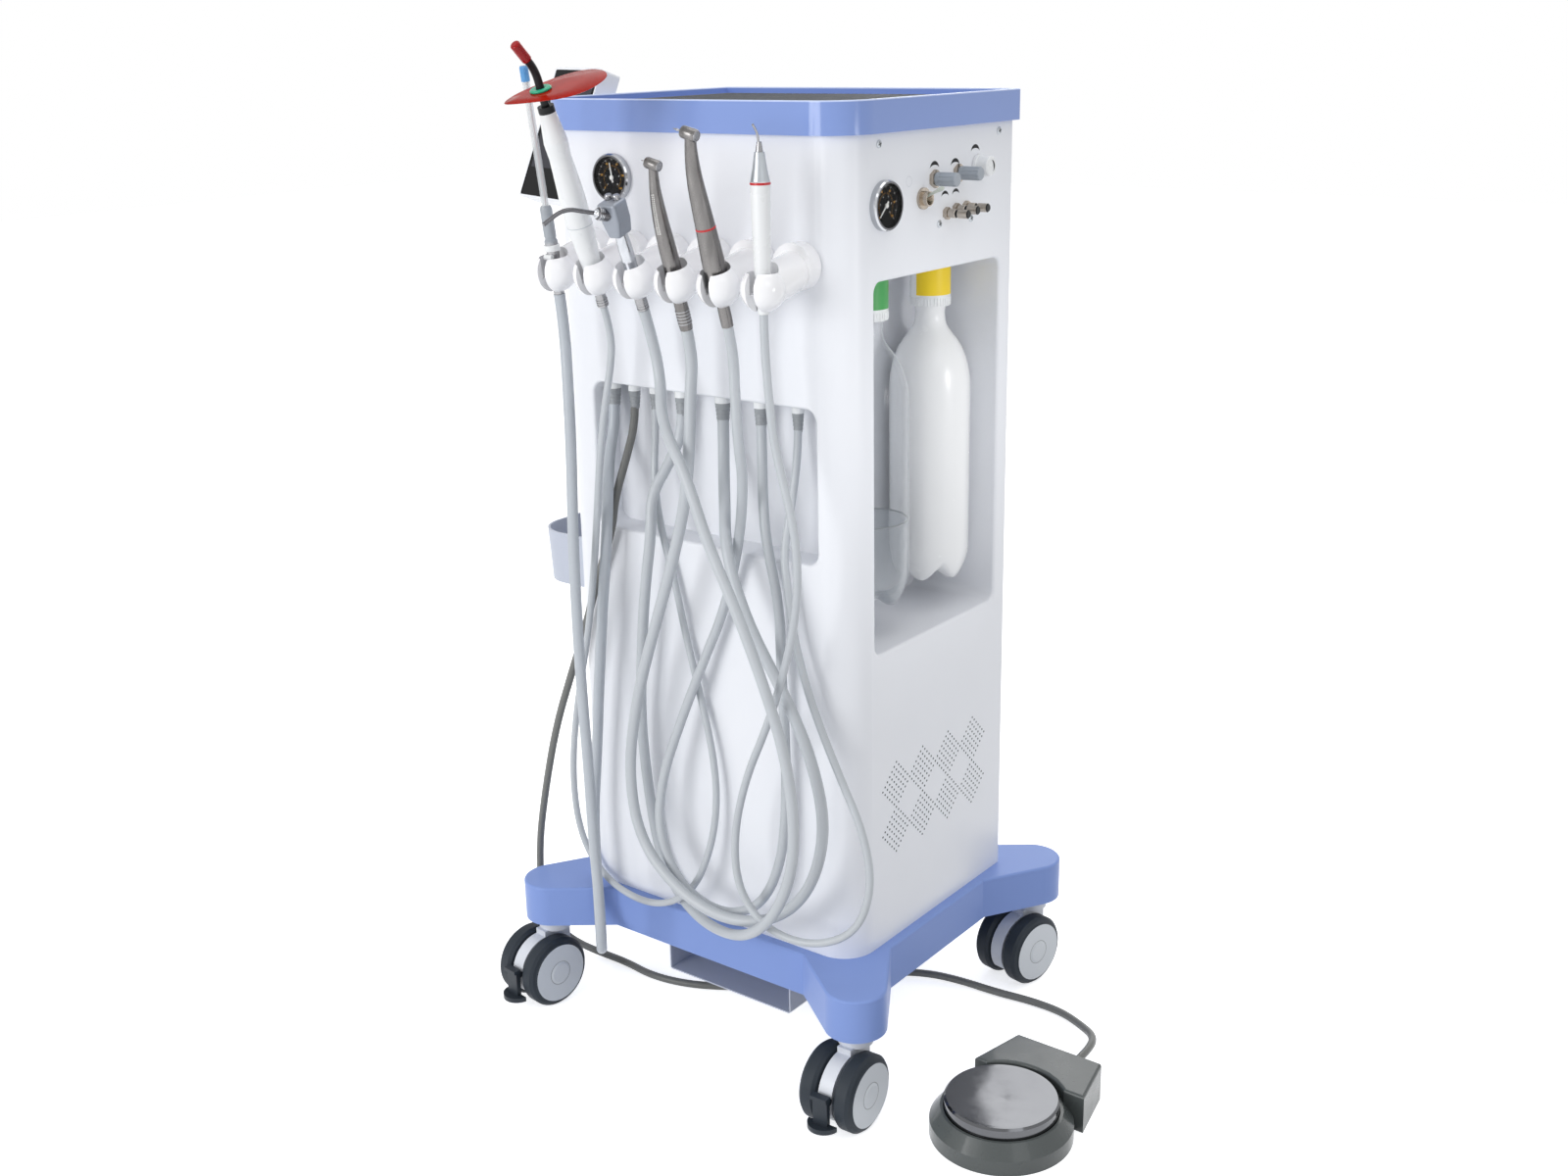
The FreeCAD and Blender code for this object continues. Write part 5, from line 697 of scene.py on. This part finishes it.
def bottle_profile(angle, inset, level):
    """The bottle's outline at one angle round it, from the middle of its base upward."""
    radius, low = BOTTLE_RADIUS - inset, BOTTLE_LOW + inset
    foot = (0.5 + 0.5 * math.cos(FEET * angle)) ** 0.6
    points = []
    for step in range(FOOT_STEPS + 1):
        share = step / FOOT_STEPS
        bend = math.radians(90 * share)
        valley = (radius * math.sin(bend),
                  low + VALLEY_LOW + VALLEY_RISE * (1 - math.cos(bend)))
        for (t0, r0, z0), (t1, r1, z1) in zip(FOOT, FOOT[1:]):
            if t0 <= share <= t1:
                part = (share - t0) / (t1 - t0)
                tip = (radius * (r0 + (r1 - r0) * part), low + z0 + (z1 - z0) * part)
                break
        points.append(tuple(a + (b - a) * foot for a, b in zip(valley, tip)))
    if level:
        return points + [(radius, level), (radius * 0.9, level + 0.2), (0, level + 0.2)]
    points.append((radius, SHOULDER))
    for step in range(1, SHOULDER_STEPS + 1):
        bend = math.radians(SHOULDER_BEND * step / SHOULDER_STEPS)
        points.append((radius - SHOULDER_IN * (1 - math.cos(bend)),
                       SHOULDER + SHOULDER_RISE * math.sin(bend)))
    return points + list(NECK)


def bottle_mesh(inset=0.0, level=None, steps=120):
    """A bottle, or the water in it up to a level."""
    made = bmesh.new()
    columns = []
    for step in range(steps):
        angle = 2 * math.pi * step / steps
        columns.append([made.verts.new((radius * math.cos(angle), radius * math.sin(angle), z))
                        for radius, z in bottle_profile(angle, inset, level)])
    skin(made, list(zip(*columns)), steps)
    bmesh.ops.remove_doubles(made, verts=made.verts, dist=0.0001)
    return made


CAP_RADIUS, BAND_LOW, BAND_HIGH = 19.5, 747, 774
CAP_RIBS, RIB_RADIUS, RIB_FOOT, RIB_HALF = 40, 19.9, 0.5, 0.25
RIB_LOW, RIB_HIGH, RIB_SLANT = 737, 744, 744.4  # its ends, and where its top meets the cap
for name, label in (("clear", "label_green"), ("milky", "label_yellow")):
    place = BOTTLES[name]
    bottle = piece(f"{name}_bottle", bottle_mesh(), name, f"bottle_{name}",
                   place, 50)
    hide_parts(f"bottle_{name}")
    band = lathe(bmesh.new(), ((CAP_RADIUS + 0.1, BAND_LOW), (CAP_RADIUS + 0.1, BAND_HIGH)), 40,
                 start=-100, sweep=150)
    piece(f"{name}_cap_label", band, label, "unit", place)
    ribs = bmesh.new()
    for step in range(CAP_RIBS):
        way = yawed(360 / CAP_RIBS * step)
        plate(ribs, ((CAP_RADIUS, -RIB_FOOT), (RIB_RADIUS, -RIB_HALF), (RIB_RADIUS, RIB_HALF),
                     (CAP_RADIUS, RIB_FOOT)), RIB_LOW, way)
        for side in (-1, 1):
            facet(ribs, [way @ Vector(corner) for corner in (
                (CAP_RADIUS, RIB_FOOT * side, RIB_LOW), (RIB_RADIUS, RIB_HALF * side, RIB_LOW),
                (RIB_RADIUS, RIB_HALF * side, RIB_HIGH),
                (CAP_RADIUS, RIB_FOOT * side, RIB_SLANT))])
        facet(ribs, [way @ Vector((RIB_RADIUS, y, z)) for y, z in (
            (-RIB_HALF, RIB_LOW), (RIB_HALF, RIB_LOW), (RIB_HALF, RIB_HIGH),
            (-RIB_HALF, RIB_HIGH))])
    piece(f"{name}_cap_ribs", ribs, "white_plastic", "unit", place)
# a grey ring where the water meets the bottle: painted shade and reflection for the line its
# surface shows
line = lathe(bmesh.new(), ((38.3, WATER_LEVEL - 0.4), (38.6, WATER_LEVEL),
                           (38.3, WATER_LEVEL + 0.6), (36.9, WATER_LEVEL + 0.7),
                           (36.4, WATER_LEVEL + 0.3)), 72)
piece("water_line", line, "relief", "bottle_clear", BOTTLES["clear"])
piece("water", bottle_mesh(WATER_INSET, WATER_LEVEL), "water", "bottle_clear",
      BOTTLES["clear"], 60)


# ---------------------------------------------------------------- instruments


def smoothed(spots, steps):
    """Points of the smooth line through some spots (Catmull-Rom)."""
    fine = []
    for before, here, after, later in zip([spots[0]] + spots, spots, spots[1:],
                                          spots[2:] + [spots[-1]]):
        for step in range(steps):
            share = step / steps
            fine.append(0.5 * (2 * here + (after - before) * share
                               + (2 * before - 5 * here + 4 * after - later) * share ** 2
                               + (3 * here - before - 3 * after + later) * share ** 3))
    return fine + [spots[-1]]


def swept(made, stations, steps=40):
    """A round bar through (y, z, radius) stations, smooth between them."""
    fine = smoothed([Vector(station) for station in stations], 8)
    rings = []
    for number, (y, z, radius) in enumerate(fine):
        ahead = fine[min(number + 1, len(fine) - 1)] - fine[max(number - 1, 0)]
        lean = math.atan2(-ahead.x, ahead.y)
        rings.append([made.verts.new((radius * math.cos(angle),
                                      y + radius * math.sin(angle) * math.cos(lean),
                                      z + radius * math.sin(angle) * math.sin(lean)))
                      for angle in (2 * math.pi * step / steps for step in range(steps))])
    skin(made, rings, steps)
    made.faces.new(rings[0])
    made.faces.new(rings[-1])
    return made


TURBINE = ((0, -45, 5.6), (0, -38.6, 6.1), (0, -24, 6.1), (0, -4.2, 5.9), (0, -3.4, 7.6),
           (0, 14, 7.8), (-0.6, 34, 7.6), (-1.0, 52, 6.9), (-0.4, 70, 5.9), (0.8, 84, 4.9),
           (2.6, 95, 4.3), (4.6, 105, 4.0))
CONTRA = ((0, -38, 5.2), (0, -30, 5.5), (0, -4.2, 5.6), (0, -3.4, 9.8), (0, 10, 10.2),
          (0, 30, 9.7), (0, 52, 8.7), (-0.2, 70, 8.0), (-0.3, 86, 7.3), (0.2, 98, 6.6),
          (1.4, 110, 5.9), (3.2, 121, 5.2), (5.4, 131, 4.7))


def aimed(direction):
    """A turn that points the local Z axis in a direction."""
    return Vector(direction).to_track_quat("Z", "Y").to_matrix().to_4x4()


HEAD_AIM = aimed((0, 0.966, -0.259))
# name, node, instrument, stations, the head's top (y, z), its radius and length, its button
HEADS = (("turbine", "high_speed_handpiece", "turbine", TURBINE, (11.4, 103.95), 4.9, 14.3,
          3.7),
         ("contra", "contra_angle", "motor", CONTRA, (12.3, 131.5), 5.3, 15.1, 4.0))
for name, node, tool, stations, top, radius, length, _ in HEADS:
    body = swept(bmesh.new(), stations)
    lathe(body, ((0, -length), (radius - 1.4, -length), (radius - 0.5, -length + 0.5),
                 (radius, -length + 1.6), (radius, -1), (radius - 0.8, 0), (0, 0)), 40,
          Matrix.Translation((0, *top)) @ HEAD_AIM)
    # the body's dark steel carries painted reflection bands along its length
    whole = piece(f"{name}_body", body, "dark_steel", f"{tool}_instrument",
                  HEADED[tool], 40)
    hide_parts(node)

for name, tool, look, slot, profile in (
        ("contra_red_ring", "motor", "red", "bright_chrome",
         ((8.6, 51.2), (8.95, 51.5), (8.87, 52.9), (8.5, 53.2))),
        ("scaler_red_ring", "scaler", "red", "pale_plastic",
         ((8.5, 85.9), (8.8, 86.2), (8.8, 87.9), (8.5, 88.2))),
        ("scaler_seam", "scaler", "seam", "pale_plastic",
         ((7.05, 9.9), (7.12, 10.1), (7.13, 10.4), (7.08, 10.6))),
        ("curing_seam", "curing", "seam", "pale_plastic",
         ((11.6, 47.8), (11.78, 48.0), (11.78, 48.25), (11.6, 48.45))),
        ("curing_collar_groove", "curing", "black", "bright_chrome",
         ((7.2, 152.2), (7.38, 152.5), (7.38, 153.4), (7.2, 153.7)))):
    piece(name, lathe(bmesh.new(), profile, 64), look, f"{tool}_instrument", HELD[tool])
for tool, low, count, pitch, radius in (("turbine", -39.4, 5, 2.9, 6.2),
                                        ("syringe", -30.5, 3, 2.4, 5.35),
                                        ("curing", -30.5, 3, 2.4, 5.2)):
    rings = bmesh.new()
    for step in range(count):
        z = low + step * pitch
        lathe(rings, ((radius - 0.6, z), (radius + 0.25, z + 0.3), (radius + 0.25, z + 1.5),
                      (radius - 0.6, z + 1.8)), 48)
    piece(f"{tool}_coupling_rings", rings, "steel", f"{tool}_instrument", HELD[tool])

# crossing lines round the turbine's coupling
KNURL_LINES, KNURL_TWIST, KNURL_HALF = 36, 30, 0.12
KNURL_RADIUS, KNURL_LOW, KNURL_HIGH = 5.95, -21.5, -6
knurl = bmesh.new()
for step in range(KNURL_LINES):
    for twist in (-KNURL_TWIST, KNURL_TWIST):
        facet(knurl, [yawed(360 / KNURL_LINES * step + bend) @ Vector((KNURL_RADIUS, y, z))
                      for bend, y, z in ((0, -KNURL_HALF, KNURL_LOW), (0, KNURL_HALF, KNURL_LOW),
                                         (twist, KNURL_HALF, KNURL_HIGH),
                                         (twist, -KNURL_HALF, KNURL_HIGH))])
piece("turbine_knurl", knurl, "steel", "turbine_instrument", HELD["turbine"])

# two columns of white marks on the side of the turbine that faces the front: painted highlights
# where the grip's grooves catch the light
DASHES, DASH_LOW, DASH_PITCH, DASH_HEIGHT, DASH_OUT = 20, 46, 1.8, 0.8, 0.12
DASH_ANGLES, DASH_SWEEP = (0, 18), 12
dashes = bmesh.new()
for (y, z, radius), (high_y, high_z, high_radius) in zip(TURBINE[5:], TURBINE[6:10]):
    for number in range(DASHES):
        up = DASH_LOW + DASH_PITCH * number
        share = (up - z) / (high_z - z)
        if 0 <= share < 1:
            reach = radius + share * (high_radius - radius) + DASH_OUT
            place = Matrix.Translation((0, y + share * (high_y - y), 0))
            for angle in DASH_ANGLES:
                lathe(dashes, ((reach, up), (reach - 0.03, up + DASH_HEIGHT)), 3, place,
                      start=angle - DASH_SWEEP / 2, sweep=DASH_SWEEP)
# painted highlights of the grip's grooves
piece("turbine_groove_highlights", dashes, "needle", "turbine_instrument",
      HEADED["turbine"])

# the shield: a thin domed leaf between two clips, all round the light guide
LEAF = tuple(Vector(spot) for spot in (
    (-20, -30), (-8, -30), (16, -24), (40, -14), (52, 4), (48, 34), (30, 52), (10, 56),
    (-6, 44), (-16, 20), (-24, -8)))
GUIDE_HOLE = 3.9
LEAF_LOW, LEAF_HIGH, LEAF_DOME, LEAF_REACH, LEAF_STEPS = 168.6, 169.6, 1.1, 62, 10
rim = []
for before, here, after in zip(LEAF[-1:] + LEAF[:-1], LEAF, LEAF[1:] + LEAF[:1]):
    for step in range(LEAF_STEPS):
        share = step / LEAF_STEPS
        rim.append((1 - share) ** 2 * (before + here) / 2 + 2 * share * (1 - share) * here
                   + share ** 2 * (here + after) / 2)
leaf, loops = bmesh.new(), []
for share, z in ((0, LEAF_LOW), (0.5, LEAF_LOW), (0.98, LEAF_LOW),
                 (1, (LEAF_LOW + LEAF_HIGH) / 2), (0.98, LEAF_HIGH), (0.5, LEAF_HIGH),
                 (0, LEAF_HIGH)):
    loops.append([leaf.verts.new((
        *(spot * share + spot.normalized() * GUIDE_HOLE * (1 - share)),
        z + LEAF_DOME * (1 - (share * spot.length / LEAF_REACH) ** 2))) for spot in rim])
skin(leaf, loops + loops[:1], len(rim))
shield = piece("shield_leaf", leaf, "shield", "curing_tip", HELD["curing"],
               50)
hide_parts("curing_shield")
clip = lathe(bmesh.new(), ((GUIDE_HOLE, 165.1), (10.9, 165.1), (11.4, 165.6), (11.4, 167.9),
                           (10.9, 168.4), (GUIDE_HOLE, 168.4), (GUIDE_HOLE, 165.1)), 40)
lathe(clip, ((GUIDE_HOLE, 170.6), (8.8, 170.6), (9.6, 171.3), (9.6, 172.3), (8.8, 173.2),
             (5.2, 173.2), (GUIDE_HOLE, 172.4), (GUIDE_HOLE, 170.6)), 40)
piece("shield_clip", clip, "green", "curing_tip", HELD["curing"], 50)

for name, _, tool, _, top, _, _, radius in HEADS:
    button = lathe(bmesh.new(), ((radius + 0.6, -0.4), (radius + 0.6, 0.25), (radius, 0.35),
                                 (radius - 0.1, 0.05), (radius - 0.7, 0.05),
                                 (radius - 0.9, 0.4), (0, 0.5)), 32)
    piece(f"{name}_button", button, "steel", f"{tool}_instrument",
          HEADED[tool] @ Matrix.Translation(Vector((0, *top)) * MM) @ HEAD_AIM)

NOSE_RADIUS = 5.9
nose = bmesh.new()
for low in (0.8, 2.3, 3.8):
    lathe(nose, ((NOSE_RADIUS - 0.6, low), (NOSE_RADIUS, low + 0.2), (NOSE_RADIUS, low + 0.9),
                 (NOSE_RADIUS - 0.6, low + 1.1)), 40)
lathe(nose, ((4.2, 5.6), (4.2, 6.6), (2.6, 7.4), (2.2, 9.0), (1.9, 9.2)), 32)
piece("syringe_nose_rings", nose, "chrome", "syringe_instrument",
      HELD["syringe"] @ Matrix.Translation(Vector((-2.4, -12, 66.5)) * MM)
      @ aimed((-0.30, -0.806, 0.506)))

wire = lathe(bmesh.new(), ((0.5, 61), (0.5, 181)), 8, Matrix.Translation((0.6, 0.4, 0)))
piece("suction_wire", wire, "copper", "suction_instrument", HELD["suction"])
clip = lathe(bmesh.new(), ((6.3, 19), (7.4, 19.4), (7.4, 24.6), (6.3, 25)), 40, start=-250,
             sweep=320)
piece("suction_clip", clip, "white_plastic", "suction_instrument",
      HELD["suction"])


# ---------------------------------------------------------------- hose reliefs

RECESS_CEILING, RELIEF_GROOVES, GROOVE_PITCH = 663, 4, 3.6
for name, (diameter, *_) in HOSES.items():
    x, y, _ = (part / MM for part in ROUTES[name][0])
    radius = diameter / 2 / MM
    profile = [(radius + 1.7, RECESS_CEILING), (radius + 1.7, RECESS_CEILING - 1.5)]
    for step in range(RELIEF_GROOVES):
        z = RECESS_CEILING - 2.5 - GROOVE_PITCH * step
        wide = radius + 1.45 - 0.3 * step
        profile += [(wide, z), (wide, z - 2.2), (wide - 0.45, z - 2.5), (wide - 0.45, z - 3.3)]
    profile += [(radius + 0.25, RECESS_CEILING - 17), (radius - 0.2, RECESS_CEILING - 17.4)]
    piece(f"{name}_relief", lathe(bmesh.new(), profile, 40), "relief", "unit",
          on(UPRIGHT, x, y, 0))


# ---------------------------------------------------------------- studio

SHADED, SHOWN = 0.57, 1.0  # the world's strength as light on the object and as backdrop
FLOOR_GLOW = 0.7
FLOOR_HALF, FLOOR_DEPTH = 9, 0.0002

world = bpy.data.worlds.new("studio")
world.use_nodes = True
bpy.context.scene.world = world
bpy.context.scene.view_settings.view_transform = "Standard"


def seen(tree):
    """1 for rays from the camera and for mirrored or refracted ones, else 0."""
    path = tree.nodes.new("ShaderNodeLightPath")
    total = path.outputs["Is Camera Ray"]
    for output in ("Is Glossy Ray", "Is Transmission Ray"):
        join = tree.nodes.new("ShaderNodeMath")
        join.operation = "MAXIMUM"
        tree.links.new(total, join.inputs[0])
        tree.links.new(path.outputs[output], join.inputs[1])
        total = join.outputs[0]
    return total


tree = world.node_tree
backdrop = tree.nodes["Background"]
backdrop.inputs["Color"].default_value = (1, 1, 1, 1)
strength = tree.nodes.new("ShaderNodeMapRange")
strength.inputs["To Min"].default_value = SHADED
strength.inputs["To Max"].default_value = SHOWN
tree.links.new(seen(tree), strength.inputs["Value"])
tree.links.new(strength.outputs["Result"], backdrop.inputs["Strength"])

floor_mesh = bpy.data.meshes.new("floor")
floor_mesh.from_pydata([(x * FLOOR_HALF, y * FLOOR_HALF, 0) for x, y in
                        ((-1, -1), (1, -1), (1, 1), (-1, 1))], [], [(0, 1, 2, 3)])
floor = bpy.data.objects.new("floor", floor_mesh)
floor.location.z = -FLOOR_DEPTH
bpy.context.scene.collection.objects.link(floor)
floor_look = bpy.data.materials.new("floor")
floor_look.use_nodes = True
tree = floor_look.node_tree
shade = tree.nodes["Principled BSDF"]
shade.inputs["Roughness"].default_value = 0.9
shade.inputs["Specular IOR Level"].default_value = 0.1
pale = tree.nodes.new("ShaderNodeMix")
pale.data_type = "RGBA"
pale.inputs[MIX_A].default_value = (0.72, 0.73, 0.75, 1)
pale.inputs[MIX_B].default_value = (1.0, 1.0, 1.0, 1)
tree.links.new(seen(tree), pale.inputs[0])
tree.links.new(pale.outputs[MIX_RESULT], shade.inputs["Base Color"])
glow = tree.nodes.new("ShaderNodeMath")
glow.operation = "MULTIPLY"
glow.inputs[1].default_value = FLOOR_GLOW
tree.links.new(seen(tree), glow.inputs[0])
tree.links.new(glow.outputs[0], shade.inputs["Emission Strength"])
shade.inputs["Emission Color"].default_value = (0.97, 0.98, 1.0, 1)
floor_mesh.materials.append(floor_look)

# place, target, size, power, colour, spread
for name, place, target, size, power, colour, spread in (
        ("key", (-0.8, -3.2, 1.28), (0, 0, 0.6), 1.6, 48, (1, 1, 1), 180),
        ("fill", (2.6, -1.2, 2.6), (0, 0, 0.7), 1.4, 8, (0.96, 0.98, 1), 180),
        ("alcove", (1.0, 0.0, 0.72), (0.1, 0.03, 0.66), 0.3, 0.1, (1, 1, 1), 26),
        ("top", (0.3, 0.4, 3.2), (0, 0, 0.5), 2.0, 20, (1, 1, 1), 180),
        ("rim", (-1.0, 2.6, 1.9), (0, 0, 0.5), 1.4, 14, (1, 1, 1), 180)):
    data = bpy.data.lights.new(name, "AREA")
    data.size = size
    data.energy = power
    data.color = colour
    data.spread = math.radians(spread)
    lamp = bpy.data.objects.new(name, data)
    lamp.location = place
    lamp.rotation_euler = (Vector(target) - Vector(place)).to_track_quat("-Z", "Y").to_euler()
    bpy.context.scene.collection.objects.link(lamp)
